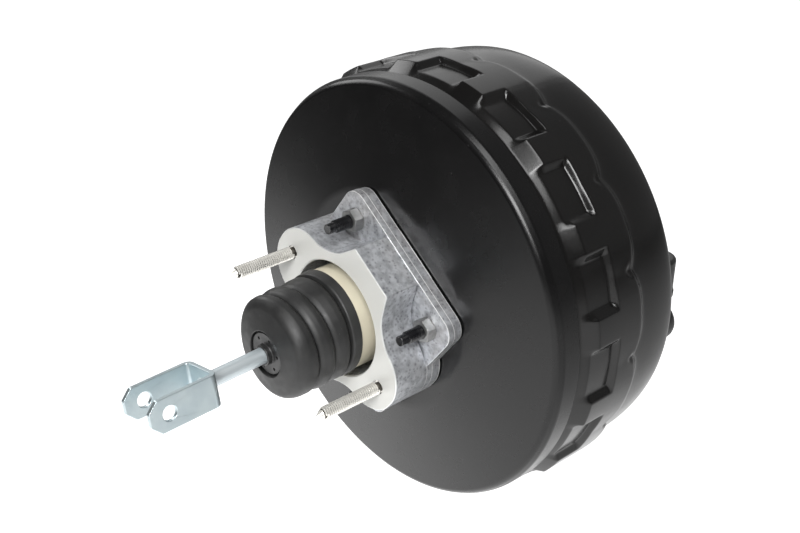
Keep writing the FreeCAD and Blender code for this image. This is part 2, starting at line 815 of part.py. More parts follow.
def boot():
    """Rubber bellows from the valve body's spigot to the push rod."""
    base_end = hub_start - boot_base_width
    outer = [(hub_start - hair, boot_base_radius), (base_end, boot_base_radius)]
    socket = boot_spigot_radius + hair
    inner = [(hub_start - boot_spigot_length - 1, socket), (hub_start - hair, socket)]
    for i in range(fold_count):
        valley = first_valley - i * fold_pitch
        peak = valley - fold_peak
        last = valley - fold_pitch + 2 * fold_rise
        outer += [
            (valley, fold_radius - fold_depth),
            (valley - fold_rise, fold_radius - 0.7),
            (peak, fold_radius, 6)]
        if i < fold_count - 1:
            outer += [(last, fold_radius - fold_depth / 2)]
            inner = [(last, fold_radius - fold_depth / 2 - rubber), (peak, fold_radius - rubber)] + inner
    wall = boot_end + vent_thickness + boot_end_wall
    outer += [
        (peak - fold_peak, fold_radius - fold_depth / 2, 8),
        (boot_end, boot_end_radius, 3),
        (boot_end, 0)]
    inner = [(wall, 0), (wall, boot_end_radius), (peak - fold_rise, fold_radius - 2 * rubber)] + inner
    shape = turned(outer + inner)
    recess_floor = pivot_y - vent_place + hair
    recess = drooped(rod(vent_radius + seat_gap, boot_end - 9, recess_floor))
    hole = drooped(rod(rod_radius + 1.5, boot_end - 9, wall + 9))
    return shape.cut([recess, hole])


def check_grommet():
    waist = annulus - sheet
    back = waist - grommet_thickness
    front = annulus + grommet_thickness
    profile = [
        (back, grommet_bore), (back, grommet_hole + 1), (waist - hair, grommet_hole + grommet_hook),
        (waist - hair, grommet_hole - hair), (annulus + hair, grommet_hole - hair),
        (annulus + hair, grommet_flange), (front, grommet_flange - 1), (front, grommet_bore)]
    ring = turned(profile)
    ring.translate(Vector(check_x, 0, check_z))
    return ring


def check_valve_body():
    """Valve housing with a domed top and a side nipple for the vacuum hose."""
    seat = annulus + grommet_thickness + hair
    top = annulus + check_body_height
    back = annulus - sheet - check_stem_length
    shoulder = seat + check_base_height
    profile = [
        (back, check_port), (back, check_stem), (seat, grommet_bore - hair), (seat, check_body_radius),
        (shoulder, check_body_radius), (shoulder + 1, check_dome), (top, check_dome, check_dome_rounding),
        (top, 0), (top - check_wall, 0), (top - check_wall, check_bore), (seat + check_seat, check_bore),
        (seat + check_seat, check_port)]
    body = turned(profile)
    body.translate(Vector(check_x, 0, check_z))
    root = check_body_radius * 0.8
    barb_place = check_point(nipple_reach - barb_length)
    barb_radius = nipple_radius + barb_height
    nipple = Part.makeCylinder(nipple_radius, nipple_reach - root, check_point(root), nipple_way)
    barb = Part.makeCone(nipple_radius, barb_radius, barb_length - 1, barb_place, nipple_way * -1.0)
    tip_radius = nipple_radius - barb_height / 2
    collar = Part.makeCone(barb_radius, tip_radius, barb_length, barb_place, nipple_way)
    bore_start = check_point(check_bore - 1)
    bore = Part.makeCylinder(nipple_radius - nipple_wall, nipple_reach, bore_start, nipple_way)
    return body.fuse([nipple, barb, collar]).cut(bore).removeSplitter()


def check_point(distance):
    """Point on the nipple's axis, at a distance from the check valve's own axis."""
    return Vector(check_x, annulus + nipple_height, check_z) + nipple_way * distance


nipple_way = Vector(math.cos(math.radians(nipple_angle)), 0, math.sin(math.radians(nipple_angle)))


def nipple_cap():
    """Rubber cap that closes the hose nipple until the booster is fitted."""
    outside = Part.makeCylinder(cap_radius, cap_length, check_point(cap_start), nipple_way)
    rims = [e for e in outside.Edges if e.Closed and e.Length > cap_radius]
    bore = nipple_radius + barb_height + hair
    depth = nipple_reach + hair - cap_start + 1
    pocket = Part.makeCylinder(bore, depth, check_point(cap_start - 1), nipple_way)
    return outside.makeFillet(cap_rounding, rims).cut(pocket)


def check_valve_disc():
    seat = annulus + grommet_thickness + check_seat + 2 * hair
    top = seat + check_disc_thickness
    guide = seat + check_guide_length
    disc = turned([
        (seat, 0), (seat, check_disc_radius), (top, check_disc_radius), (top, check_guide_radius),
        (guide, check_guide_radius), (guide, 0)])
    disc.translate(Vector(check_x, 0, check_z))
    return disc


def check_valve_spring():
    start = annulus + grommet_thickness + check_seat + check_disc_thickness + 3 * hair
    end = annulus + check_body_height - check_wall - hair
    spring = coil(check_coil, check_wire, start, end, check_turns)
    spring.translate(Vector(check_x, 0, check_z))
    return spring


def mouth_seal():
    """Seal in the front shell's mouth for the master cylinder's nose."""
    start = front_pad - mouth_depth
    end = start + seal_width + seal_lip
    outer = mouth_radius - hair
    return turned([
        (start, outer), (start, outer - 2.5 * seal_lip), (start + seal_lip, outer - 3 * seal_lip),
        (start + 2.5 * seal_lip, outer - 2.5 * seal_lip), (end, outer - 2.5 * seal_lip), (end, outer)])


pieces = {
    "rear_shell": rear_shell,
    "front_shell": front_shell,
    "mounting_adapter": mounting_adapter,
    "adapter_gasket": adapter_gasket,
    "bulkhead_studs": lambda: spread(bulkhead_stud_places, bulkhead_stud),
    "shell_studs": lambda: spread(shell_stud_places, shell_stud),
    "shell_stud_nuts": lambda: spread(shell_stud_places, adapter_nut),
    "hub_seal": hub_seal,
    "hub_bush": hub_bush,
    "stiffener_plate": stiffener_plate,
    "cylinder_studs": lambda: spread(cylinder_stud_places, cylinder_stud),
    "mouth_seal": mouth_seal,
    "check_grommet": check_grommet,
    "check_valve_body": check_valve_body,
    "check_valve_disc": check_valve_disc,
    "check_valve_spring": check_valve_spring,
    "nipple_cap": nipple_cap,
    "return_spring": return_spring,
    "valve_body": valve_body,
    "diaphragm_plate": diaphragm_plate,
    "diaphragm": diaphragm,
    "reaction_disc": reaction_disc,
    "output_rod": output_rod,
    "rod_retainer": rod_retainer,
    "stop_key": stop_key,
    "air_filter": air_filter,
    "valve_retainer": valve_retainer,
    "control_valve": control_valve,
    "poppet_spring": poppet_spring,
    "input_spring": input_spring,
    "plunger": plunger,
    "push_rod": push_rod,
    "clevis": clevis,
    "input_spring_seat": input_spring_seat,
    "vent_disc": vent_disc,
    "boot": boot,
}

os.makedirs("parts", exist_ok=True)
for name, make in pieces.items():
    shape = make()
    if not shape.isValid():
        print(name, "is not valid")
    box = shape.BoundBox
    print("%-20s solids %d  y %.1f to %.1f" % (name, len(shape.Solids), box.YMin, box.YMax))
    shape.exportStep("parts/%s.step" % name)
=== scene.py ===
import math

import bmesh
import bpy
from mathutils import Matrix, Vector


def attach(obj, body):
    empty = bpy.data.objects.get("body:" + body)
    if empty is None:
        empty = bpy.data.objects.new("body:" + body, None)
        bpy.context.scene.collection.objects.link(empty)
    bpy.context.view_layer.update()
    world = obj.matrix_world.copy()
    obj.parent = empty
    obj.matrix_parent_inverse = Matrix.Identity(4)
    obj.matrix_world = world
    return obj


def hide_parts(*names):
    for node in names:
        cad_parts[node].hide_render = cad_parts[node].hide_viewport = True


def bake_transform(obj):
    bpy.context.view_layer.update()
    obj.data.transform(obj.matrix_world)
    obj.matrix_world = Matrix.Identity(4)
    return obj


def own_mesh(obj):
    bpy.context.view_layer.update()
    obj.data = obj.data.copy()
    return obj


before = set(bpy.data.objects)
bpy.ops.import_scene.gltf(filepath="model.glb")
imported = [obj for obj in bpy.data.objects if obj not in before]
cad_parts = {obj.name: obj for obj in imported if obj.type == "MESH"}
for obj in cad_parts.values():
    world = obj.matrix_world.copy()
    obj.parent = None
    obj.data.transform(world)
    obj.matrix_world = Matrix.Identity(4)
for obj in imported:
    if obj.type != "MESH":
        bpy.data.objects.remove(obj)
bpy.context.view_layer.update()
mm = 0.001
scene = bpy.context.scene
print("frame loaded:", len(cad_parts), "nodes")


# shader helpers: a socket that is given is linked, and a value that is given is set
def feed(tree, socket, given):
    if isinstance(given, bpy.types.NodeSocket):
        tree.links.new(given, socket)
    else:
        socket.default_value = given


def calculate(tree, operation, *given):
    node = tree.nodes.new("ShaderNodeMath")
    node.operation = operation
    for socket, value in zip(node.inputs, given):
        feed(tree, socket, value)
    return node.outputs[0]


def remap(tree, value, fromMin, fromMax, toMin=0.0, toMax=1.0, kind="LINEAR"):
    node = tree.nodes.new("ShaderNodeMapRange")
    node.interpolation_type = kind
    labels = ("Value", "From Min", "From Max", "To Min", "To Max")
    for label, given in zip(labels, (value, fromMin, fromMax, toMin, toMax)):
        feed(tree, node.inputs[label], given)
    return node.outputs["Result"]


def mixTone(tree, amount, first, second):  # second, and first where it is no socket, are plain colours
    mix = tree.nodes.new("ShaderNodeMix")
    mix.data_type = "RGBA"
    tree.links.new(amount, mix.inputs["Factor"])
    feed(tree, mix.inputs["A"], first if isinstance(first, bpy.types.NodeSocket) else (*first, 1))
    mix.inputs["B"].default_value = (*second, 1)
    return mix.outputs["Result"]


# shader groups: each puts out one value that changes over the surface
def newGroup(name, inputs):
    group = bpy.data.node_groups.new(name, "ShaderNodeTree")
    for label, kind, value in inputs:
        socket = group.interface.new_socket(name=label, in_out="INPUT", socket_type=kind)
        if value is not None:
            socket.default_value = value
    group.interface.new_socket(name="Value", in_out="OUTPUT", socket_type="NodeSocketFloat")
    return group, group.nodes.new("NodeGroupInput").outputs, group.nodes.new("NodeGroupOutput").inputs


def makeMottle():  # soft uneven patches, from Low to High
    group, given, out = newGroup("mottle", [
        ("Vector", "NodeSocketVector", None), ("Scale", "NodeSocketFloat", 50.0),
        ("Detail", "NodeSocketFloat", 3.0), ("From", "NodeSocketFloat", 0.35), ("To", "NodeSocketFloat", 0.65),
        ("Low", "NodeSocketFloat", 0.0), ("High", "NodeSocketFloat", 1.0)])
    noise = group.nodes.new("ShaderNodeTexNoise")
    for label in ("Vector", "Scale", "Detail"):
        group.links.new(given[label], noise.inputs[label])
    spread = remap(group, noise.outputs["Fac"], given["From"], given["To"], given["Low"], given["High"])
    group.links.new(spread, out["Value"])
    return group


def makeSpecks():  # small round dots of dust or pores, 1 in a dot
    group, given, out = newGroup("specks", [
        ("Vector", "NodeSocketVector", None), ("Scale", "NodeSocketFloat", 300.0),
        ("Size", "NodeSocketFloat", 0.15), ("Share", "NodeSocketFloat", 0.5)])
    cells = group.nodes.new("ShaderNodeTexVoronoi")
    for label in ("Vector", "Scale"):
        group.links.new(given[label], cells.inputs[label])
    near = remap(group, cells.outputs["Distance"], 0.0, given["Size"], 1.0, 0.0, "SMOOTHSTEP")
    pick = group.nodes.new("ShaderNodeSeparateColor")
    group.links.new(cells.outputs["Color"], pick.inputs["Color"])
    chosen = calculate(group, "LESS_THAN", pick.outputs["Red"], given["Share"])
    group.links.new(calculate(group, "MULTIPLY", near, chosen), out["Value"])
    return group


mottle = makeMottle()
specks = makeSpecks()


def addGroup(tree, group, vector, values):
    node = tree.nodes.new("ShaderNodeGroup")
    node.node_tree = group
    tree.links.new(vector, node.inputs["Vector"])
    for label, value in values.items():
        node.inputs[label].default_value = value
    return node.outputs["Value"]


# one surface finish: two tones, dots, uneven gloss and a fine grain
def finishMaterial(name, tone, otherTone, toneScale, gloss, glossScale, grain, dots=(), stretch=None,
                   metallic=0.0, coat=0.0, shine=0.5):
    material = bpy.data.materials.new(name)
    material.use_nodes = True
    tree = material.node_tree
    shader = tree.nodes["Principled BSDF"]
    place = tree.nodes.new("ShaderNodeTexCoord").outputs["Object"]
    if stretch:  # streaks along the piece
        streaks = tree.nodes.new("ShaderNodeMapping")
        streaks.inputs["Scale"].default_value = stretch
        tree.links.new(place, streaks.inputs["Vector"])
        place = streaks.outputs["Vector"]
    patches = addGroup(tree, mottle, place, {"Scale": toneScale, "Detail": 4.0, "From": 0.38, "To": 0.66})
    colour = mixTone(tree, patches, tone, otherTone)
    for dot in dots:
        spots = addGroup(tree, specks, place, {"Scale": dot["scale"], "Size": dot["size"], "Share": dot["share"]})
        colour = mixTone(tree, calculate(tree, "MULTIPLY", spots, dot["strength"]), colour, dot["tone"])
    unevenGloss = addGroup(tree, mottle, place, {"Scale": glossScale, "Low": gloss[0], "High": gloss[1]})
    bump = tree.nodes.new("ShaderNodeBump")
    bump.inputs["Distance"].default_value = grain["height"] * mm
    bump.inputs["Strength"].default_value = grain["strength"]
    height = addGroup(tree, mottle, place, {"Scale": grain["scale"], "Detail": 5.0, "From": 0.25, "To": 0.75})
    tree.links.new(height, bump.inputs["Height"])
    for label, given in (("Base Color", colour), ("Roughness", unevenGloss), ("Metallic", metallic),
                         ("Coat Weight", coat), ("Coat Roughness", 0.1), ("Specular IOR Level", shine),
                         ("Normal", bump.outputs["Normal"])):
        feed(tree, shader.inputs[label], given)
    return material


strayDust = {"tone": (0.2, 0.2, 0.2), "strength": 0.25, "scale": 160, "size": 0.07, "share": 0.2}
fineDust = {"tone": (0.25, 0.25, 0.24), "strength": 0.35, "scale": 420, "size": 0.14, "share": 0.15}
rearPaint = finishMaterial(
    "rearPaint", tone=(0.0034, 0.0033, 0.0034), otherTone=(0.0044, 0.0042, 0.0043), toneScale=30,
    gloss=(0.24, 0.28), glossScale=60, shine=0.34, grain={"scale": 900, "height": 0.02, "strength": 0.2},
    dots=[strayDust])
frontPaint = finishMaterial(
    "frontPaint", tone=(0.0042, 0.0040, 0.0039), otherTone=(0.0054, 0.0050, 0.0048), toneScale=30,
    gloss=(0.20, 0.25), glossScale=80, coat=0.1, shine=0.36,
    grain={"scale": 700, "height": 0.03, "strength": 0.25}, dots=[strayDust])
bootRubber = finishMaterial(
    "bootRubber", tone=(0.011, 0.011, 0.011), otherTone=(0.017, 0.017, 0.0165), toneScale=120,
    gloss=(0.44, 0.54), glossScale=200, grain={"scale": 1500, "height": 0.05, "strength": 0.3}, dots=[fineDust])
sealRubber = finishMaterial(
    "sealRubber", tone=(0.014, 0.014, 0.014), otherTone=(0.020, 0.020, 0.020), toneScale=150,
    gloss=(0.32, 0.44), glossScale=200, grain={"scale": 1400, "height": 0.03, "strength": 0.3})
ivoryPlastic = finishMaterial(
    "ivoryPlastic", tone=(0.57, 0.53, 0.41), otherTone=(0.52, 0.48, 0.37), toneScale=45,
    gloss=(0.38, 0.46), glossScale=90, grain={"scale": 900, "height": 0.03, "strength": 0.25})
blackPlastic = finishMaterial(
    "blackPlastic", tone=(0.012, 0.012, 0.0125), otherTone=(0.018, 0.018, 0.0185), toneScale=120,
    gloss=(0.34, 0.44), glossScale=150, grain={"scale": 1300, "height": 0.03, "strength": 0.3})
yellowZinc = finishMaterial(
    "yellowZinc", tone=(0.95, 0.93, 0.87), otherTone=(0.86, 0.84, 0.78), toneScale=120, gloss=(0.2, 0.28),
    glossScale=150, metallic=0.55, grain={"scale": 900, "height": 0.01, "strength": 0.1})
zincGrain = {"scale": 700, "height": 0.02, "strength": 0.3}
blueZinc = finishMaterial(
    "blueZinc", tone=(0.56, 0.64, 0.66), otherTone=(0.49, 0.57, 0.60), toneScale=70, gloss=(0.30, 0.40),
    glossScale=120, metallic=0.9, grain=zincGrain)
rodZinc = finishMaterial(
    "rodZinc", tone=(0.68, 0.74, 0.76), otherTone=(0.50, 0.56, 0.59), toneScale=240, gloss=(0.30, 0.40),
    glossScale=120, metallic=0.6, grain=zincGrain, stretch=(1, 0.05, 1))
greyZinc = finishMaterial(
    "greyZinc", tone=(0.33, 0.33, 0.325), otherTone=(0.26, 0.26, 0.255), toneScale=220, gloss=(0.34, 0.48),
    glossScale=260, metallic=0.9, grain={"scale": 1800, "height": 0.02, "strength": 0.4})
blackSteel = finishMaterial(
    "blackSteel", tone=(0.005, 0.005, 0.006), otherTone=(0.010, 0.010, 0.011), toneScale=200,
    gloss=(0.20, 0.28), glossScale=200, coat=0.5, grain={"scale": 900, "height": 0.01, "strength": 0.1})
threadShade = finishMaterial(
    "threadShade", tone=(0.12, 0.11, 0.095), otherTone=(0.09, 0.08, 0.07), toneScale=120, gloss=(0.35, 0.45),
    glossScale=150, metallic=0.7, grain={"scale": 900, "height": 0.01, "strength": 0.1})
springSteel = finishMaterial(
    "springSteel", tone=(0.20, 0.20, 0.21), otherTone=(0.12, 0.12, 0.13), toneScale=200, gloss=(0.3, 0.42),
    glossScale=200, metallic=0.9, grain={"scale": 1500, "height": 0.01, "strength": 0.3})
gasketFibre = finishMaterial(
    "gasketFibre", tone=(0.09, 0.09, 0.085), otherTone=(0.14, 0.14, 0.13), toneScale=500, gloss=(0.7, 0.8),
    glossScale=300, grain={"scale": 2500, "height": 0.06, "strength": 0.6})
filterFelt = finishMaterial(
    "filterFelt", tone=(0.25, 0.25, 0.24), otherTone=(0.16, 0.16, 0.15), toneScale=700, gloss=(0.8, 0.9),
    glossScale=300, grain={"scale": 2500, "height": 0.2, "strength": 0.8})

# bare die cast skin: pale milled face at the bulkhead end with a painted highlight on its rims, painted highlight
# lines along the flange's front edge, parting step and rear edge, brown haze in the hollows round the nuts
castLook = {
    "skin": {"tone": (0.63, 0.645, 0.67), "otherTone": (0.40, 0.41, 0.43), "toneScale": 260,
             "gloss": (0.36, 0.50), "glossScale": 130, "metallic": 0.72,
             "grain": {"scale": 900, "height": 0.10, "strength": 0.55},
             "dots": [
                 {"tone": (0.12, 0.12, 0.14), "strength": 0.6, "scale": 560, "size": 0.72, "share": 0.36},
                 {"tone": (0.75, 0.76, 0.78), "strength": 0.4, "scale": 520, "size": 0.36, "share": 0.15}]},
    # painted highlight lines along the flange's front edge, parting step and rear edge
    "highlightBands": [(25.03, 25.45), (29.25, 29.8), (35.25, 36.0)], "highlightTone": (0.95, 0.95, 0.95),
    # a painted highlight round the rims at the bulkhead end, up to this depth, in this tone
    "faceEnd": 0.03, "rimHighlightEnd": 0.75, "faceTone": (0.66, 0.66, 0.63), "rimHighlightTone": (0.86, 0.87, 0.86),
    "faceMetallic": 0.12, "haze": (0.30, 0.235, 0.19), "hazeFrom": 24.0, "hazeTo": 12.0,
    "hazeScale": 60.0, "hazeStrength": 0.16}


def makeCast(look):
    material = finishMaterial("dieCast", **look["skin"])
    tree = material.node_tree
    shader = tree.nodes["Principled BSDF"]
    place = tree.nodes.new("ShaderNodeTexCoord").outputs["Object"]
    parts = tree.nodes.new("ShaderNodeSeparateXYZ")
    tree.links.new(place, parts.inputs[0])
    depth = parts.outputs["Y"]
    fade = remap(tree, depth, look["hazeTo"] * mm, look["hazeFrom"] * mm)
    patches = addGroup(tree, mottle, place, {
        "Scale": look["hazeScale"], "From": 0.4, "To": 0.6, "High": look["hazeStrength"]})
    colour = shader.inputs["Base Color"].links[0].from_socket
    colour = mixTone(tree, calculate(tree, "MULTIPLY", fade, patches), colour, look["haze"])
    # painted highlight lines on the flange's front edge, its parting step and its rear edge
    for ends in look["highlightBands"]:
        low, high = (calculate(tree, "LESS_THAN", depth, end * mm) for end in ends)
        colour = mixTone(tree, calculate(tree, "SUBTRACT", high, low), colour, look["highlightTone"])
    # the rims at the bulkhead end get a painted highlight, the milled face its own pale tone
    edge, face = (calculate(tree, "LESS_THAN", depth, look[end] * mm) for end in ("rimHighlightEnd", "faceEnd"))
    colour = mixTone(tree, edge, colour, look["rimHighlightTone"])
    colour = mixTone(tree, face, colour, look["faceTone"])
    tree.links.new(colour, shader.inputs["Base Color"])
    metal = remap(tree, face, 0.0, 1.0, look["skin"]["metallic"], look["faceMetallic"])
    tree.links.new(metal, shader.inputs["Metallic"])
    return material


dieCast = makeCast(castLook)
print("materials ready:", len(bpy.data.materials))


# pieces turned on the booster's axis, from (y, radius[, rounding]) corners in millimetres
def roundCorners(bm, corners, verts, segments):
    count = len(corners)
    for i, corner in enumerate(corners):
        if len(corner) < 3:
            continue
        here = Vector(corner[:2])
        one = Vector(corners[i - 1][:2]) - here
        two = Vector(corners[(i + 1) % count][:2]) - here
        reach = corner[2] / math.tan(one.angle(two) / 2)
        reach = min(reach, one.length * 0.49, two.length * 0.49)
        bmesh.ops.bevel(bm, geom=[verts[i]], offset=reach * mm, offset_type="ABSOLUTE", segments=segments,
                        profile=0.5, affect="VERTICES", material=-1, clamp_overlap=False)


def addLathe(bm, corners, steps=96, segments=4):
    before = set(bm.verts)
    verts = [bm.verts.new((c[1] * mm, c[0] * mm, 0)) for c in corners]
    face = bm.faces.new(verts)
    roundCorners(bm, corners, verts, segments)
    line = [v for v in bm.verts if v not in before]
    bmesh.ops.delete(bm, geom=[f for f in bm.faces if f.verts[0] in line], context="FACES_ONLY")
    edges = list({e for v in line for e in v.link_edges})
    onAxis = [e for e in edges if all(abs(v.co.x) < 1e-9 for v in e.verts)]
    bmesh.ops.delete(bm, geom=onAxis, context="EDGES")
    edges = list({e for v in line if v.is_valid for e in v.link_edges})
    bmesh.ops.spin(bm, geom=[v for v in line if v.is_valid] + edges, cent=(0, 0, 0), axis=(0, 1, 0), dvec=(0, 0, 0),
                   angle=math.tau, steps=steps, use_merge=True)
    made = [v for v in bm.verts if v not in before]
    bmesh.ops.remove_doubles(bm, verts=made, dist=1e-6)
    return [v for v in bm.verts if v not in before]


# rolled thread: one profile line spun with a lift, then closed at both ends
def addThread(bm, start, end, radius, depth, pitch=1.25, steps=28):
    before = set(bm.verts)
    count = int((end - start) / pitch) - 1
    line = []
    for i in range(count):
        for share, drop in ((0.0, depth), (0.12, depth), (0.45, 0.0), (0.67, 0.0)):
            line.append(bm.verts.new(((radius - drop) * mm, (start + (i + share) * pitch) * mm, 0)))
    line.append(bm.verts.new(((radius - depth) * mm, (start + count * pitch) * mm, 0)))
    edges = [bm.edges.new(pair) for pair in zip(line, line[1:])]
    bmesh.ops.spin(bm, geom=line + edges, cent=(0, 0, 0), axis=(0, -1, 0), dvec=(0, pitch / steps * mm, 0),
                   angle=math.tau, steps=steps, use_merge=False)
    bmesh.ops.remove_doubles(bm, verts=[v for v in bm.verts if v not in before], dist=1e-6)
    made = [v for v in bm.verts if v not in before]
    rims = [e for e in bm.edges if e.is_boundary and e.verts[0] not in before]
    bmesh.ops.holes_fill(bm, edges=rims, sides=0)
    return made


def spreadCopies(bm, made, places):  # the same shape at each (x, z) place
    shape = list(made) + list({e for v in made for e in v.link_edges})
    shape += list({f for v in made for f in v.link_faces})
    for x, z in places[1:]:
        copy = bmesh.ops.duplicate(bm, geom=shape)["geom"]
        bmesh.ops.translate(bm, vec=(x * mm, 0, z * mm), verts=[g for g in copy if isinstance(g, bmesh.types.BMVert)])
    bmesh.ops.translate(bm, vec=(places[0][0] * mm, 0, places[0][1] * mm), verts=made)


def droop(bm):  # the push rod rests a little below the axis, turned about its ball
    turn = Matrix.Rotation(math.radians(rodRest["droop"]), 3, "X")
    bmesh.ops.rotate(bm, cent=(0, rodRest["ball"] * mm, 0), matrix=turn, verts=bm.verts)


def aimAlong(bm, verts, place, way):
    turn = Vector((0, 1, 0)).rotation_difference(Vector(way)).to_matrix().to_4x4()
    bmesh.ops.transform(bm, matrix=Matrix.Translation(Vector(place) * mm) @ turn, verts=verts)


def addPiece(name, bm, material, replaced, body=None, sharp=38, subdivide=0):
    bmesh.ops.recalc_face_normals(bm, faces=bm.faces)
    mesh = bpy.data.meshes.new(name)
    bm.to_mesh(mesh)
    bm.free()
    piece = bpy.data.objects.new(name, mesh)
    scene.collection.objects.link(piece)
    mesh.shade_smooth()
    if sharp:
        mesh.set_sharp_from_angle(angle=math.radians(sharp))
    mesh.materials.append(material)
    if subdivide:
        smooth = piece.modifiers.new("smooth", "SUBSURF")
        smooth.levels = subdivide
        smooth.render_levels = subdivide
    else:
        flats = piece.modifiers.new("flats", "WEIGHTED_NORMAL")
        flats.keep_sharp = True
    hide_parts(*replaced)
    if body:
        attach(piece, body)
    return piece


rodRest = {"ball": 60.0, "droop": 1.85}
spacerTurn = math.radians(43.3)  # the line of the bulkhead studs


def spacerPlace(across, along):
    return (across * math.cos(spacerTurn) - along * math.sin(spacerTurn),
            across * math.sin(spacerTurn) + along * math.cos(spacerTurn))


# rear shell
rearShell = {
    "face": 37.0, "band": 47.7, "bandRadius": 136.2, "flare": 52.6, "groove": 65.6, "spigotEnd": 104.0,
    "radius": 138.8, "faceRadius": 72.0, "spigotRadius": 131.3, "neckRadius": 38.0, "neckEnd": 53.0,
    "sheet": 2.0, "corner": 4.8, "coneCorner": 26, "flareCorner": 4.0, "bandInset": 1.5}


def makeRearShell(s):
    t = s["sheet"]
    low = s["spigotRadius"]
    bm = bmesh.new()
    addLathe(bm, [
        (s["neckEnd"], s["neckRadius"]), (s["face"], s["neckRadius"], 2.0),
        (s["face"], s["faceRadius"], s["coneCorner"]), (s["band"], s["bandRadius"], s["corner"]),
        (s["flare"], s["radius"], s["flareCorner"]), (s["groove"], s["radius"] + 0.2, 0.9),
        (s["groove"] + 0.6, low, 0.5), (s["spigotEnd"], low), (s["spigotEnd"], low - t), (s["groove"], low - t),
        (s["band"] + t, s["bandRadius"] - t - s["bandInset"], 4), (s["face"] + t, s["faceRadius"]),
        (s["face"] + t, s["neckRadius"] + t), (s["neckEnd"], s["neckRadius"] + t)],
        steps=288, segments=10)
    return addPiece("rearShell", bm, rearPaint, ["rear_shell"], "housing", sharp=50)


makeRearShell(rearShell)
print("rear shell ready")


# front shell: rim, pressed pockets, raised pads with arched fronts, stakes, drum and front pad
frontShell = {
    "rim": 66.7, "throat": 136.6, "drum": 139.4, "drumFront": 136.3, "annulus": 158.0, "annulusInner": 80.0,
    "frontPad": 168.0, "padRadius": 62.0, "mouth": 30.0, "mouthDepth": 16.0, "sheet": 2.0, "inside": 134.2,
    "insideEnd": 100, "frontCorner": 9, "placeholder": 150.0, "pockets": 16, "phase": 10.0, "sector": 24,
    "pocketFloor": 139.7, "slopeStart": 68.6, "floorStart": 73.6, "slopeEnd": 77.2, "floorFront": 93.5,
    "crownFront": 95.6, "floorHalf": 5.9, "crownHalf": 7.6, "peak": 143.9, "valley": 143.1,
    "padFront": 110.8, "fallBefore": 2.4, "fallAfter": 6.0, "bulge": 6.0, "bulgePower": 3.5,
    "bulgeStart": 97, "bulgeEnd": 135, "stakePlace": 108.2, "stakeDepth": 1.9, "stakeWidth": 1.7,
    "stakeRim": 0.4, "stakeRimRadius": 3.2}
# the skirt's columns in degrees from a pocket's middle, and its rows along y
sectorColumns = [0, 1.1, 2.4, 3.8, 5.2, 5.75, 6.1, 7.4, 7.75, 8.2, 9.0, 10.0, 11.25]
skirtRows = [68.6, 69.6, 71.5, 73.2, 73.9, 74.8, 76.7, 77.3, 78.1, 80.5, 84.5, 89.0, 92.6, 93.3, 93.8, 95.3, 95.9,
             96.8, 99.5, 102.5, 104.8, 106.2, 107.2, 108.2, 109.2, 109.9, 110.8, 111.8, 112.9, 114.2, 115.6, 118,
             122, 127, 132]


def smoothStep(low, high, value):
    t = min(1.0, max(0.0, (value - low) / (high - low)))
    return t * t * (3 - 2 * t)


def ramp(low, high, value):
    return min(1.0, max(0.0, (value - low) / (high - low)))


def padCrown(s, fromPadMiddle):  # radius of a raised pad's crown, an arc flatter than the drum
    half = math.pi / s["pockets"]
    width = s["valley"] * math.sin(half)
    rise = s["peak"] - s["valley"] * math.cos(half)
    arc = (width ** 2 + rise ** 2) / (2 * rise)
    centre = s["peak"] - arc
    a = math.radians(fromPadMiddle)
    return centre * math.cos(a) + math.sqrt(arc ** 2 - (centre * math.sin(a)) ** 2)


def skirtRadius(s, y, off):  # radius of the skirt at y, off degrees from the nearest pocket's middle
    crown = padCrown(s, 180 / s["pockets"] - off)
    radius = s["throat"] + (crown - s["throat"]) * ramp(s["slopeStart"], s["slopeEnd"], y)
    fall = smoothStep(s["padFront"] - s["fallBefore"], s["padFront"] + s["fallAfter"], y)
    radius += (s["drum"] - radius) * fall
    floor = s["throat"] + (s["pocketFloor"] - s["throat"]) * ramp(s["slopeStart"], s["floorStart"], y)
    inside = min(1 - ramp(s["floorHalf"], s["crownHalf"], off), 1 - ramp(s["floorFront"], s["crownFront"], y))
    if y < s["crownFront"]:
        radius += (min(floor, radius) - radius) * inside
    away = math.hypot(math.radians(off) * s["drum"], y - s["stakePlace"])
    radius -= s["stakeDepth"] * math.exp(-(away / s["stakeWidth"]) ** 2)
    return radius + s["stakeRim"] * math.exp(-(away - s["stakeRimRadius"]) ** 2)


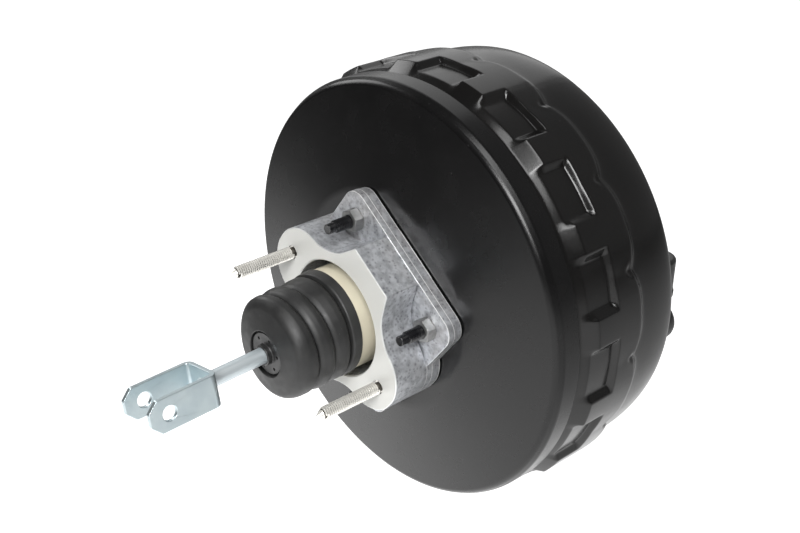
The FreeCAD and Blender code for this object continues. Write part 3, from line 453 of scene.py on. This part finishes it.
def makeFrontShell(s):
    t = s["sheet"]
    rim = s["rim"]
    skirt = s["placeholder"]  # stands in for the skirt's rows until their radius is worked out
    corners = [(rim, s["inside"]), (rim, s["throat"] - 0.8), (rim + 0.4, s["throat"] - 0.2), (rim + 1.0, s["throat"])]
    corners += [(y, skirt) for y in skirtRows]
    corners += [
        (138, s["drum"] - 0.1), (146, s["drum"] - 0.7), (s["annulus"], s["drumFront"], s["frontCorner"]),
        (s["annulus"], s["annulusInner"], 6), (s["frontPad"], s["padRadius"], 5), (s["frontPad"], s["mouth"], 1.2),
        (s["frontPad"] - s["mouthDepth"], s["mouth"]), (s["frontPad"] - s["mouthDepth"], s["mouth"] + t),
        (s["frontPad"] - t, s["mouth"] + t), (s["frontPad"] - t, s["padRadius"] - 1),
        (s["annulus"] - t, s["annulusInner"] - 1), (s["annulus"] - t, s["drumFront"] - t, 6),
        (s["insideEnd"], s["drumFront"] - t)]
    sector = s["sector"]
    bm = bmesh.new()
    addLathe(bm, corners, steps=s["pockets"] * sector, segments=4)
    spacing = 360 / s["pockets"]
    for v in bm.verts:
        y = v.co.y / mm
        radius = math.hypot(v.co.x, v.co.z) / mm
        step = round(math.degrees(math.atan2(v.co.z, v.co.x)) * sector / spacing)
        index = math.floor(step / sector + 0.5)
        local = step - index * sector
        off = math.copysign(sectorColumns[min(sector // 2, abs(local))], local)
        if radius > skirt - 1:
            arch = s["bulge"] * (1 - (1 - 2 * abs(off) / spacing) ** s["bulgePower"])
            share = smoothStep(s["bulgeStart"], s["padFront"] - 0.5, y)
            share *= 1 - smoothStep(s["padFront"] + 2, s["bulgeEnd"], y)
            radius = skirtRadius(s, y, abs(off))
            y += arch * share
        a = math.radians(s["phase"] + index * spacing + off)
        v.co = Vector((radius * math.cos(a), y, radius * math.sin(a))) * mm
    bmesh.ops.remove_doubles(bm, verts=bm.verts, dist=1e-6)
    return addPiece("frontShell", bm, frontPaint, ["front_shell"], "housing", sharp=0, subdivide=1)


makeFrontShell(frontShell)
print("front shell ready")


# spacer between bulkhead and rear shell: lobed body and square flange, in its own turned axes
spacer = {
    "depth": 36.0, "bore": 37.5, "lead": 0.8, "edge": 0.55, "studHole": 4.42, "studHoleDepth": 1.5,
    "studSpacing": 100.5, "flangeBore": 38.5, "flangeEdge": 0.35, "flangeGap": 0.02,
    "flat": (56.0, 17.4, 1.2), "waist": (29.9, 27.8, 33.0), "lobe": (20.3, 63.4, 26.5),
    "flange": (55.97, 55.5, 10.5), "flangeFront": 25.0, "stepEnd": 29.5, "step": 0.5, "fillet": 1.6}


def addOutline(bm, quarter, y, segments):  # closed face from one quarter, mirrored across both axes
    top = quarter + [(-c[0],) + c[1:] for c in reversed(quarter)]
    corners = top + [(c[0], -c[1]) + c[2:] for c in reversed(top)]
    before = set(bm.verts)
    verts = []
    for c in corners:
        x, z = spacerPlace(c[0], c[1])
        verts.append(bm.verts.new((x * mm, y * mm, z * mm)))
    bm.faces.new(verts)
    roundCorners(bm, corners, verts, segments)
    made = [v for v in bm.verts if v not in before]
    return [f for f in bm.faces if f.verts[0] in made][0]


def raiseFace(bm, face, height):
    made = bmesh.ops.extrude_face_region(bm, geom=[face])["geom"]
    bmesh.ops.translate(bm, vec=(0, height * mm, 0), verts=[g for g in made if isinstance(g, bmesh.types.BMVert)])
    return [g for g in made if isinstance(g, bmesh.types.BMFace)][0]


def addRing(bm, radius, y, x=0.0, z=0.0, steps=96):
    place = Matrix.Translation((x * mm, y * mm, z * mm)) @ Matrix.Rotation(math.pi / 2, 4, "X")
    made = bmesh.ops.create_circle(bm, cap_ends=False, segments=steps, radius=radius * mm, matrix=place)["verts"]
    return list({e for v in made for e in v.link_edges})


def bridgeRings(bm, one, two):
    bmesh.ops.bridge_loops(bm, edges=one + two)


def fillCap(bm, y, rings):  # flat cap between an open outline at y and the rings inside it
    rim = [e for e in bm.edges if e.is_boundary and all(abs(v.co.y / mm - y) < 1e-4 for v in e.verts)]
    loose = [e for e in rings if e.is_valid and e not in rim]
    bmesh.ops.triangle_fill(bm, use_beauty=True, use_dissolve=False, edges=rim + loose, normal=(0, -1, 0))


def makeSpacer(s):
    bm = bmesh.new()
    bottom = addOutline(bm, [s["flat"], s["waist"], s["lobe"]], 0.0, 10)
    levels = [s["flangeFront"] - s["fillet"] * 1.15, s["flangeFront"] - s["fillet"] * 0.5, s["flangeFront"] - 0.15,
              s["flangeFront"] + 0.1, s["depth"]]
    flare = {levels[1]: 0.22, levels[2]: 1.0, levels[3]: 1.0}
    top, at = bottom, 0.0
    for level in levels:
        top = raiseFace(bm, top, level - at)
        at = level
    bm.normal_update()
    shift = {}
    for v in bm.verts:  # casting fillet where the body meets the flange
        for level, share in flare.items():
            if abs(v.co.y / mm - level) < 1e-3:
                across = v.co.x / mm * math.cos(spacerTurn) + v.co.z / mm * math.sin(spacerTurn)
                along = v.co.z / mm * math.cos(spacerTurn) - v.co.x / mm * math.sin(spacerTurn)
                within = min(s["flange"][0] - s["step"] - abs(across), s["flange"][1] - s["step"] - abs(along))
                normal = Vector((v.normal.x, 0, v.normal.z)).normalized()
                shift[v] = normal * s["fillet"] * share * smoothStep(0.0, 2.5, within) * mm
    for v, move in shift.items():
        v.co += move
    rim = [e for e in bm.edges if all(abs(v.co.y) < 1e-9 for v in e.verts)]
    bmesh.ops.bevel(bm, geom=rim, offset=s["edge"] * mm, offset_type="OFFSET", segments=2, profile=0.5,
                    affect="EDGES", material=-1, clamp_overlap=False)
    caps = [f for f in bm.faces if len(f.verts) > 12]
    bmesh.ops.delete(bm, geom=caps, context="FACES_ONLY")
    lead = addRing(bm, s["bore"] + s["lead"], 0.0)
    front = addRing(bm, s["bore"], s["lead"])
    back = addRing(bm, s["bore"], s["depth"])
    bridgeRings(bm, lead, front)
    bridgeRings(bm, front, back)
    open0, openEnd = list(lead), list(back)
    for sign in (1, -1):
        x, z = spacerPlace(0, sign * s["studSpacing"] / 2)
        mouth = addRing(bm, s["studHole"], 0.0, x, z, 32)
        seat = addRing(bm, s["studHole"], s["studHoleDepth"], x, z, 32)
        bridgeRings(bm, mouth, seat)
        open0 += mouth
        bmesh.ops.holes_fill(bm, edges=seat, sides=0)
    fillCap(bm, 0.0, open0)
    fillCap(bm, s["depth"], openEnd)

    # flange as its own shell, with the parting step on its side
    first = set(bm.verts)
    plate = addOutline(bm, [s["flange"]], s["flangeFront"], 8)
    upper = raiseFace(bm, plate, s["stepEnd"] - s["flangeFront"])
    raiseFace(bm, upper, s["depth"] - s["flangeGap"] - s["stepEnd"])
    bm.normal_update()
    low = {}
    for v in bm.verts:
        if v not in first and v.co.y / mm < s["stepEnd"] + 1e-3:
            low[v] = Vector((v.normal.x, 0, v.normal.z)).normalized() * s["step"] * mm
    for v, move in low.items():
        v.co -= move
    rims = [e for e in bm.edges if e.verts[0] not in first and abs(e.verts[0].co.y - e.verts[1].co.y) < 1e-9
            and e.calc_length() > 1e-5]
    bmesh.ops.bevel(bm, geom=rims, offset=s["flangeEdge"] * mm, offset_type="OFFSET", segments=2, profile=0.5,
                    affect="EDGES", material=-1, clamp_overlap=False)
    ends = [s["flangeFront"], s["depth"] - s["flangeGap"]]
    caps = [f for f in bm.faces if f.verts[0] not in first and len(f.verts) > 12]
    bmesh.ops.delete(bm, geom=caps, context="FACES_ONLY")
    inner = [addRing(bm, s["flangeBore"], y) for y in ends]
    bridgeRings(bm, inner[0], inner[1])
    for y, ring in zip(ends, inner):
        fillCap(bm, y, ring)
    return addPiece("spacerCasting", bm, dieCast, ["mounting_adapter"], "housing", sharp=42)


makeSpacer(spacer)
print("spacer ready")


# studs: rolled thread on each, with its own point; the bulkhead studs' is coarser than the real 1.25 mm, so it shows
studs = {
    "bulkhead": {"radius": 4.1, "depth": 0.85, "pitch": 1.5, "start": -43.0, "end": -0.2, "point": -47.5,
                 "root": 3.1, "shank": 4.38, "shankStart": 1.2, "shankEnd": 22, "spacing": 100.5},
    "shell": {"radius": 4.0, "depth": 0.75, "dog": 3.2, "tip": 1.5, "start": 6.4, "end": 24.5,
              "head": (39.05, 41.55, 8.0), "across": 41.2, "along": 40.3},
    "cylinder": {"radius": 4.0, "depth": 0.62, "start": 168.4, "end": 193.2, "tip": 194.0, "root": 3.25,
                 "head": (160.4, 162.85, 8.0), "shank": 4.38, "shankEnd": 167.8, "across": 48.0}}

shellStudPlaces = [spacerPlace(a * studs["shell"]["across"], b * studs["shell"]["along"])
                   for a in (1, -1) for b in (1, -1)]


def makeBulkheadStuds(s):
    bm = bmesh.new()
    made = addThread(bm, s["start"], s["end"], s["radius"], s["depth"], s["pitch"])
    made += addLathe(bm, [
        (s["point"], 0), (s["point"], 0.55, 0.3), (s["point"] + 1.0, 0.95, 0.3), (s["start"] - 0.4, 3.05, 0.5),
        (s["start"] + 1.4, s["root"]), (s["shankStart"], s["root"]), (s["shankStart"], s["shank"]),
        (s["shankEnd"], s["shank"]), (s["shankEnd"], 0)], steps=40)
    bmesh.ops.recalc_face_normals(bm, faces=bm.faces)
    for f in bm.faces:  # valleys and the flanks turned away are in the shade of the crests
        at = f.calc_center_median()
        reach = s["radius"] - math.hypot(at.x, at.z) / mm
        valley = reach > 0.8 * s["depth"] or (reach > 0.3 * s["depth"] and f.normal.y > 0.2)
        if valley and s["start"] < at.y / mm < 0:
            f.material_index = 1
    spreadCopies(bm, made, [spacerPlace(0, s["spacing"] / 2), spacerPlace(0, -s["spacing"] / 2)])
    piece = addPiece("bulkheadStuds", bm, yellowZinc, ["bulkhead_studs"], "housing", sharp=32)
    piece.data.materials.append(threadShade)
    return piece


def makeShellStuds(s):
    bm = bmesh.new()
    made = addThread(bm, s["start"], s["end"], s["radius"], s["depth"], steps=24)
    root = s["radius"] - s["depth"]
    back, front, radius = s["head"]
    made += addLathe(bm, [
        (s["tip"], 0), (s["tip"] + 0.3, s["dog"] - 1.0), (s["tip"], s["dog"], 0.6), (s["start"] - 0.6, s["dog"], 0.4),
        (s["start"] + 0.5, root), (s["end"] - 1, root), (s["end"] + 0.5, s["radius"]), (back, s["radius"]),
        (back, radius), (front, radius), (front, 0)], steps=32)
    spreadCopies(bm, made, shellStudPlaces)
    return addPiece("shellStuds", bm, blackSteel, ["shell_studs"], "housing", sharp=32)


def makeCylinderStuds(s):
    bm = bmesh.new()
    made = addThread(bm, s["start"], s["end"], s["radius"], s["depth"], steps=24)
    back, front, radius = s["head"]
    made += addLathe(bm, [
        (back, 0), (back, radius), (front, radius), (front, s["shank"]), (s["shankEnd"], s["shank"]),
        (s["shankEnd"] + 0.5, s["root"]), (s["end"] - 1.4, s["root"]), (s["tip"], 2.9, 0.3), (s["tip"], 0)], steps=32)
    spreadCopies(bm, made, [(s["across"], 0), (-s["across"], 0)])
    return addPiece("cylinderStuds", bm, blackSteel, ["cylinder_studs"], "housing", sharp=32)


makeBulkheadStuds(studs["bulkhead"])
makeShellStuds(studs["shell"])
makeCylinderStuds(studs["cylinder"])

# hexagon nuts with turned chamfers on a round foot
nuts = {"flats": 13.0, "seat": 25.0, "height": 6.8, "chamfer": 0.55, "lead": 0.35, "foot": 0.5, "footRadius": 6.9,
        "bore": 4.02}


def makeNuts(s):
    bm = bmesh.new()
    half = s["flats"] / 2
    point = half / math.cos(math.radians(30))
    back = s["seat"] - s["height"]
    start = half - s["lead"]
    slope = (point - start) / s["chamfer"]
    chamfer = [(back + d, start + d * slope) for d in (0.0, 0.15, 0.25, 0.35, 0.45, s["chamfer"])]
    side = s["seat"] - s["foot"] - 0.3
    made = addLathe(bm, [(back + 0.5, s["bore"]), (back, s["bore"] + 0.5)] + chamfer + [
        (side, point), (side + 0.15, half + 0.5), (side + 0.3, s["footRadius"]), (s["seat"], s["footRadius"]),
        (s["seat"], s["bore"])], steps=72)
    for v in made:
        if back < v.co.y / mm - 1e-6 < side + 0.1:
            angle = math.degrees(math.atan2(v.co.z, v.co.x))
            near = math.radians((angle + 30) % 60 - 30)
            reach = math.hypot(v.co.x, v.co.z) / mm
            if reach > s["bore"] + 1:
                keep = min(1.0, half / math.cos(near) / reach)
                v.co = Vector((v.co.x * keep, v.co.y, v.co.z * keep))
    bmesh.ops.rotate(bm, cent=(0, 0, 0), matrix=Matrix.Rotation(-spacerTurn, 3, "Y"), verts=made)
    spreadCopies(bm, made, shellStudPlaces)
    return addPiece("hexNuts", bm, greyZinc, ["shell_stud_nuts"], "housing", sharp=24)


makeNuts(nuts)
print("studs and nuts ready")


# valve body's hub, the ivory ring round the boot
hub = {"start": -5.5, "radius": 32.5, "bore": 25.0, "spigot": 27.4, "spigotStart": -11.5, "flange": 63.05,
       "flangeRadius": 44.0, "noseStart": 69.05, "nose": 24.0, "noseEnd": 95.75, "cup": 86.0, "cupRadius": 16.1,
       "guide": 10.1, "chamber": (38.0, 50.0, 22.0)}


def makeHub(s):
    bm = bmesh.new()
    start, end, chamber = s["chamber"]
    addLathe(bm, [
        (s["spigotStart"], s["bore"]), (s["spigotStart"], s["spigot"], 0.6), (s["start"], s["spigot"]),
        (s["start"], s["radius"], 1.1), (s["flange"], s["radius"]), (s["flange"], s["flangeRadius"]),
        (s["noseStart"], s["flangeRadius"]), (s["noseStart"], s["nose"]), (s["noseEnd"], s["nose"]),
        (s["noseEnd"], s["cupRadius"]), (s["cup"], s["cupRadius"]), (s["cup"], s["guide"]),
        (end, s["guide"]), (end, chamber), (start, chamber), (start, s["bore"])], steps=128)
    return addPiece("valveHub", bm, ivoryPlastic, ["valve_body"], "power_piston", sharp=40)


makeHub(hub)

# boot: soft folds, each with a sharp crease at its front, hanging a little with the rod
boot = {
    "outside": [
        (-5.55, 33.4, 0.5), (-12.0, 33.2, 1.4),
        (-13.7, 28.4, 0.3), (-14.1, 31.6, 0.5), (-15.4, 32.7, 1.8), (-18.8, 32.6, 7), (-25.0, 31.2, 5),
        (-27.2, 28.2, 0.3), (-27.6, 31.4, 0.5), (-29.0, 32.7, 1.8), (-31.9, 32.8, 6), (-36.8, 31.4, 5),
        (-38.8, 28.0, 0.3), (-39.2, 31.0, 0.5), (-40.6, 32.2, 1.8), (-45.4, 31.9, 6), (-50.0, 29.2, 9),
        (-53.4, 14.4, 0.6)],
    "inside": [
        (-50.2, 14.2), (-50.2, 7.0), (-48.4, 7.0), (-48.4, 16.0), (-45.0, 28.8, 4), (-41.0, 29.4), (-38.6, 26.2),
        (-36.4, 28.8), (-31.6, 30.6), (-29.0, 30.0), (-27.0, 26.4), (-24.6, 28.8), (-18.6, 30.4), (-15.4, 30.0),
        (-13.5, 27.0), (-5.55, 27.5)],
    "hang": [(-5.5, 0.0), (-9.0, -0.45), (-14.6, -0.9), (-29.3, -1.6), (-43.5, -2.3), (-50.0, -3.55), (-60.0, -3.9)],
    "lean": (0.06, -0.05), "leanIn": (12, 26), "leanOut": (42, 51),
    "blendStart": (0, -0.007, 0), "blendEnd": (0, -0.048, 0)}


def hangAt(points, y):
    for (y1, z1), (y2, z2) in zip(points, points[1:]):
        if y >= y2:
            return z1 + (z2 - z1) * ramp(0, 1, (y1 - y) / (y1 - y2))
    return points[-1][1]


def makeBoot(s):
    bm = bmesh.new()
    addLathe(bm, s["outside"] + s["inside"], steps=144, segments=5)
    for v in bm.verts:  # the folds gather on the lower right and open at the top
        y = v.co.y / mm
        share = smoothStep(*s["leanIn"], -y) * (1 - smoothStep(*s["leanOut"], -y))
        v.co.y += share * (s["lean"][0] * v.co.x + s["lean"][1] * v.co.z)
        v.co.z += hangAt(s["hang"], y) * mm
    piece = addPiece("boot", bm, bootRubber, ["boot"], sharp=60)
    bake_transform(piece)
    return piece


makeBoot(boot)

# perforated disc in the boot's end, with a collar round the rod
vent = {"front": -50.2, "thick": 2.0, "radius": 13.4, "collar": 6.4, "collarLength": 3.5, "bore": 5.12,
        "holes": 6, "holeRadius": 1.05, "holeCircle": 10.3, "edge": 0.5}


def makeVent(s):
    bm = bmesh.new()
    back = s["front"] - s["thick"]
    rims = {}
    for y in (back, s["front"]):
        rims[y] = [addRing(bm, s["radius"], y), addRing(bm, s["bore"] + 0.6, y, steps=48)]
        for i in range(s["holes"]):
            a = math.tau / s["holes"] * i
            x, z = s["holeCircle"] * math.cos(a), s["holeCircle"] * math.sin(a)
            rims[y].append(addRing(bm, s["holeRadius"], y, x, z, 20))
        around = [e for ring in rims[y] for e in ring]
        bmesh.ops.triangle_fill(bm, use_beauty=True, use_dissolve=False, edges=around, normal=(0, -1, 0))
    for one, two in zip(rims[back], rims[s["front"]]):
        bridgeRings(bm, one, two)
    edge = [e for e in rims[back][0] if e.is_valid]
    bmesh.ops.bevel(bm, geom=edge, offset=s["edge"] * mm, offset_type="OFFSET", segments=3, profile=0.5,
                    affect="EDGES", material=-1, clamp_overlap=False)
    tip = back - s["collarLength"]
    addLathe(bm, [
        (back + 0.5, s["bore"]), (tip, s["bore"], 0.4), (tip, s["collar"], 0.7),
        (back - 0.4, s["collar"], 0.4), (back + 0.5, s["collar"] + 0.8)], steps=64)
    droop(bm)
    return addPiece("ventDisc", bm, sealRubber, ["vent_disc"], "boot_end", sharp=40)


makeVent(vent)
print("hub and boot ready")

# push rod with its ball, and the riveted tenon behind the clevis
pushRod = {"back": -94.5, "radius": 5.0, "neck": 36.0, "neckRadius": 3.9, "ball": 6.0, "tenon": 3.5,
           "tenonEnd": -98.3}


def makePushRod(s):
    bm = bmesh.new()
    addLathe(bm, [
        (s["tenonEnd"], 0), (s["tenonEnd"] + 0.2, s["tenon"] + 0.6, 0.8), (s["back"] - 3.0, s["tenon"] + 0.4),
        (s["back"] - 2.9, s["tenon"]), (s["back"], s["tenon"]), (s["back"], s["radius"], 0.6),
        (s["neck"], s["radius"]), (s["neck"] + 2, s["neckRadius"]),
        (rodRest["ball"] - 3, s["neckRadius"]), (rodRest["ball"] - 3, 0)], steps=64)
    bmesh.ops.create_uvsphere(bm, u_segments=32, v_segments=16, radius=s["ball"] * mm,
                              matrix=Matrix.Translation((0, rodRest["ball"] * mm, 0)))
    droop(bm)
    return addPiece("pushRod", bm, rodZinc, ["push_rod"], "input_rod", sharp=40)


makePushRod(pushRod)

# check valve: domed body, nipple with barb, grommet and rubber cap
checkValve = {
    "x": 101.166, "z": -41.904, "seat": 162.05, "top": 190.0, "shoulder": 173.05, "radius": 14.5, "dome": 13.5,
    "stem": 6.0, "stemEnd": 149.0, "port": 4.0, "chamber": 9.5, "lid": 2.5, "nippleY": 177.0, "nippleAngle": 80.0,
    "nipple": 4.75, "nippleStart": 10.5, "bore": 3.15, "reach": 44.0, "barb": 5.65,
    "cap": (22.0, 49.0, 12.4, 5.72), "capStep": 0.7}
nippleAngle = math.radians(checkValve["nippleAngle"])
nippleWay = (math.cos(nippleAngle), 0, math.sin(nippleAngle))


def makeCheckBody(s):
    bm = bmesh.new()
    made = addLathe(bm, [
        (s["stemEnd"], s["port"]), (s["stemEnd"], s["stem"], 0.6), (s["seat"], 6.4), (s["seat"], s["radius"], 0.6),
        (s["shoulder"], s["radius"], 0.5), (s["shoulder"] + 1, s["dome"]), (s["top"], s["dome"], 8.0), (s["top"], 0),
        (s["top"] - s["lid"], 0), (s["top"] - s["lid"], s["chamber"]), (s["seat"] + 3, s["chamber"]),
        (s["seat"] + 3, s["port"])], steps=72, segments=6)
    bmesh.ops.translate(bm, vec=(s["x"] * mm, 0, s["z"] * mm), verts=made)
    r, b = s["nipple"], s["barb"]
    made = addLathe(bm, [
        (s["nippleStart"], s["bore"]), (s["nippleStart"], r + 1.2, 0.5), (13.6, r + 1.2, 1.0), (16.5, r, 1.5),
        (s["reach"] - 9, r), (s["reach"] - 5, b, 0.3), (s["reach"], r - 0.45, 0.4), (s["reach"], s["bore"])],
        steps=48)
    aimAlong(bm, made, (s["x"], s["nippleY"], s["z"]), nippleWay)
    return addPiece("checkValveBody", bm, blackPlastic, ["check_valve_body"], "housing", sharp=40)


grommet = [(152, 6.5), (152, 11.5, 1), (155.95, 13.5, 0.5), (155.95, 10.45), (158.05, 10.45), (158.05, 17.0, 0.5),
           (161.0, 16.8, 1.2), (162.0, 15.2, 0.5), (162.0, 6.5)]


def makeCheckGrommet(s):
    bm = bmesh.new()
    made = addLathe(bm, grommet, steps=72)
    bmesh.ops.translate(bm, vec=(s["x"] * mm, 0, s["z"] * mm), verts=made)
    return addPiece("checkGrommet", bm, sealRubber, ["check_grommet"], "housing", sharp=40)


def makeNippleCap(s):
    bm = bmesh.new()
    start, end, radius, bore = s["cap"]
    neck = radius - s["capStep"]
    made = addLathe(bm, [
        (start, bore), (start, radius, 1.0), (start + 4, radius, 0.8), (start + 4.8, neck, 0.8), (end, neck, 2.4),
        (end, 0), (s["reach"] + 0.1, 0), (s["reach"] + 0.1, bore)], steps=64)
    aimAlong(bm, made, (s["x"], s["nippleY"], s["z"]), nippleWay)
    return addPiece("nippleCap", bm, sealRubber, ["nipple_cap"], "housing", sharp=40)


makeCheckBody(checkValve)
makeCheckGrommet(checkValve)
makeNippleCap(checkValve)
print("check valve ready")

# coil springs, each wound round its centre between its start and end
springs = {
    "returnSpring": {
        "node": "return_spring", "radius": 36.0, "wire": 1.95, "start": 69.5, "end": 162.5, "turns": 5,
        "centre": (0, 0), "rides": "housing", "joint": "piston_stroke", "anchor": 162.9, "keep": 0.655},
    "checkValveSpring": {
        "node": "check_valve_spring", "radius": 6.0, "wire": 0.48, "start": 166.8, "end": 180.4, "turns": 4,
        "centre": (101.166, -41.904), "rides": "housing", "joint": "check_valve_lift", "anchor": 180.45,
        "keep": 0.885},
    "inputSpring": {
        "node": "input_spring", "radius": 13.0, "wire": 0.88, "start": 12.4, "end": 30.8, "turns": 5,
        "centre": (0, 0), "rides": "power_piston", "joint": "rod_travel", "anchor": 30.95, "keep": 0.91}}


def makeSpring(name, s):
    bm = bmesh.new()
    steps = 36 * s["turns"]
    rise = (s["end"] - s["start"] - 2 * s["wire"]) / steps
    first = Matrix.Translation((s["radius"] * mm, (s["start"] + s["wire"]) * mm, 0))
    made = bmesh.ops.create_circle(bm, cap_ends=False, segments=10, radius=s["wire"] * mm, matrix=first)["verts"]
    edges = list({e for v in made for e in v.link_edges})
    bmesh.ops.spin(bm, geom=made + edges, cent=(0, 0, 0), axis=(0, 1, 0), dvec=(0, rise * mm, 0),
                   angle=math.tau * s["turns"], steps=steps, use_merge=False)
    bmesh.ops.holes_fill(bm, edges=[e for e in bm.edges if e.is_boundary], sides=0)
    bmesh.ops.translate(bm, vec=(s["centre"][0] * mm, 0, s["centre"][1] * mm), verts=bm.verts)
    piece = addPiece(name, bm, springSteel, [s["node"]], s["rides"], sharp=50)
    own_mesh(piece)
    return piece


for name, values in springs.items():
    makeSpring(name, values)
print("springs ready")


# studio: camera at the photograph's place, soft boxes, pale floor
shot = {"place": (0.552424, -0.403290, 0.280224), "right": (0.66520126, 0.73937578, -0.1040708),
        "up": (-0.19295256, 0.30486965, 0.93264345), "back": (0.72130201, -0.60031487, 0.34546412), "lens": 54.275}
camera = bpy.data.objects.new("camera", bpy.data.cameras.new("camera"))
scene.collection.objects.link(camera)
turn = Matrix((shot["right"], shot["up"], shot["back"])).transposed()
camera.matrix_world = Matrix.Translation(shot["place"]) @ turn.to_4x4()
camera.data.lens = shot["lens"]
camera.data.sensor_width = 36.0
camera.data.clip_start = 0.02
camera.data.clip_end = 50
scene.camera = camera


def addLamp(name, place, aim, size, power):
    data = bpy.data.lights.new(name, "AREA")
    data.shape = "RECTANGLE"
    data.size, data.size_y = size
    data.energy = power
    lamp = bpy.data.objects.new(name, data)
    scene.collection.objects.link(lamp)
    lamp.location = place
    lamp.rotation_euler = (Vector(aim) - Vector(place)).to_track_quat("-Z", "Y").to_euler()


softBoxes = {
    "keyBox": {"place": (1.05, -1.3, 1.0), "aim": (0, 0, 0), "size": (0.9, 0.7), "power": 36},
    "topBox": {"place": (0.85, -0.47, 1.25), "aim": (0, 0.05, 0), "size": (0.5, 1.2), "power": 13},
    "leftBox": {"place": (-1.4, -0.2, 1.1), "aim": (0, 0, 0), "size": (0.8, 0.8), "power": 9},
    "backBox": {"place": (-0.95, 1.05, 1.05), "aim": (0, 0.08, 0), "size": (1.4, 1.4), "power": 5}}
for name, box in softBoxes.items():
    addLamp(name, box["place"], box["aim"], box["size"], box["power"])

ground = {"level": -0.32, "size": 12.0, "tone": 0.8, "cameraGlow": (0.74, 0.98), "glowStart": 0.15,
          "centre": (-0.3, -0.2), "reach": 3.0, "edgeWay": (0.7071, 0.7071, 0), "edgeNear": 0.26, "edgeFar": 0.45,
          "beyond": 0.12, "mirror": [(0.0, 1.0), (0.2, 0.66), (0.333, 0.27), (0.583, 0.1), (1.0, 0.05)]}


def makeGround(s):  # plain white to the camera, keeps the shadow, and fades with distance in what the paint mirrors
    material = bpy.data.materials.new("paleFloor")
    material.use_nodes = True
    tree = material.node_tree
    shader = tree.nodes["Principled BSDF"]
    shader.inputs["Base Color"].default_value = (s["tone"], s["tone"], s["tone"], 1)
    shader.inputs["Roughness"].default_value = 1.0
    shader.inputs["Specular IOR Level"].default_value = 0.0
    shader.inputs["Emission Color"].default_value = (1, 1, 1, 1)
    place = tree.nodes.new("ShaderNodeTexCoord").outputs["Object"]
    shift = tree.nodes.new("ShaderNodeMapping")
    shift.inputs["Location"].default_value = (-s["centre"][0], -s["centre"][1], -s["level"])
    tree.links.new(place, shift.inputs["Vector"])
    far = tree.nodes.new("ShaderNodeVectorMath")
    far.operation = "LENGTH"
    tree.links.new(shift.outputs["Vector"], far.inputs[0])
    share = calculate(tree, "DIVIDE", far.outputs["Value"], s["reach"])
    fade = tree.nodes.new("ShaderNodeValToRGB")
    while len(fade.color_ramp.elements) < len(s["mirror"]):
        fade.color_ramp.elements.new(0.5)
    for stop, (at, value) in zip(fade.color_ramp.elements, s["mirror"]):
        stop.position = at
        stop.color = (value, value, value, 1)
    tree.links.new(share, fade.inputs["Fac"])
    across = tree.nodes.new("ShaderNodeVectorMath")
    across.operation = "DOT_PRODUCT"
    across.inputs[1].default_value = s["edgeWay"]
    tree.links.new(place, across.inputs[0])
    edge = remap(tree, across.outputs["Value"], s["edgeNear"], s["edgeFar"], 1.0, s["beyond"])
    rays = tree.nodes.new("ShaderNodeLightPath").outputs
    # painted reflection: the floor glows to mirrored rays only, brightest near the object, fading with distance and
    # beyond the edge line
    mirrored = calculate(tree, "MULTIPLY", fade.outputs["Color"], edge)
    glossy = calculate(tree, "MULTIPLY", mirrored, rays["Is Glossy Ray"])
    glow = remap(tree, share, s["glowStart"], 1.0, *s["cameraGlow"])
    seen = calculate(tree, "MULTIPLY_ADD", rays["Is Camera Ray"], glow, glossy)
    tree.links.new(seen, shader.inputs["Emission Strength"])
    return material


bm = bmesh.new()
low = Matrix.Translation((0, 0, ground["level"]))
bmesh.ops.create_grid(bm, x_segments=1, y_segments=1, size=ground["size"], matrix=low)
floorMesh = bpy.data.meshes.new("floor")
bm.to_mesh(floorMesh)
bm.free()
floor = bpy.data.objects.new("floor", floorMesh)
scene.collection.objects.link(floor)
floorMesh.materials.append(makeGround(ground))

surround = {"behind": 0.28, "front": 0.06, "camera": 1.0, "start": -0.2, "end": 0.9}
world = bpy.data.worlds.new("studio")
scene.world = world
world.use_nodes = True
tree = world.node_tree
background = tree.nodes["Background"]
background.inputs["Color"].default_value = (1, 1, 1, 1)
parts = tree.nodes.new("ShaderNodeSeparateXYZ")
tree.links.new(tree.nodes.new("ShaderNodeTexCoord").outputs["Generated"], parts.inputs[0])
depth = remap(tree, parts.outputs["Y"], surround["start"], surround["end"], surround["front"], surround["behind"])
level = tree.nodes.new("ShaderNodeMix")
seenByCamera = tree.nodes.new("ShaderNodeLightPath").outputs["Is Camera Ray"]
for label, given in (("Factor", seenByCamera), ("A", depth), ("B", surround["camera"])):
    feed(tree, level.inputs[label], given)
tree.links.new(level.outputs["Result"], background.inputs["Strength"])
scene.view_settings.view_transform = "Standard"
print("studio ready")

# CAD nodes that stay get their finish, and the bent clevis its broken edges
nodeFinish = {
    "adapter_gasket": gasketFibre, "hub_seal": sealRubber, "hub_bush": blackPlastic, "stiffener_plate": greyZinc,
    "mouth_seal": sealRubber, "check_valve_disc": sealRubber, "diaphragm_plate": greyZinc,
    "diaphragm": sealRubber, "reaction_disc": sealRubber, "output_rod": blueZinc, "rod_retainer": greyZinc,
    "stop_key": greyZinc, "air_filter": filterFelt, "valve_retainer": greyZinc, "control_valve": sealRubber,
    "poppet_spring": springSteel, "plunger": blueZinc, "clevis": blueZinc, "input_spring_seat": greyZinc}
for node, material in nodeFinish.items():
    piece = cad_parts[node]
    piece.data.materials.clear()
    piece.data.materials.append(material)
clevisEdge = {"width": 0.5, "segments": 3, "angle": 35}
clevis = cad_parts["clevis"]
joined = clevis.modifiers.new("joined", "WELD")
joined.merge_threshold = 1e-5
edges = clevis.modifiers.new("edges", "BEVEL")
edges.width = clevisEdge["width"] * mm
edges.segments = clevisEdge["segments"]
edges.limit_method = "ANGLE"
edges.angle_limit = math.radians(clevisEdge["angle"])
edges.use_clamp_overlap = False
edges.harden_normals = True
print("CAD nodes finished:", len(nodeFinish))
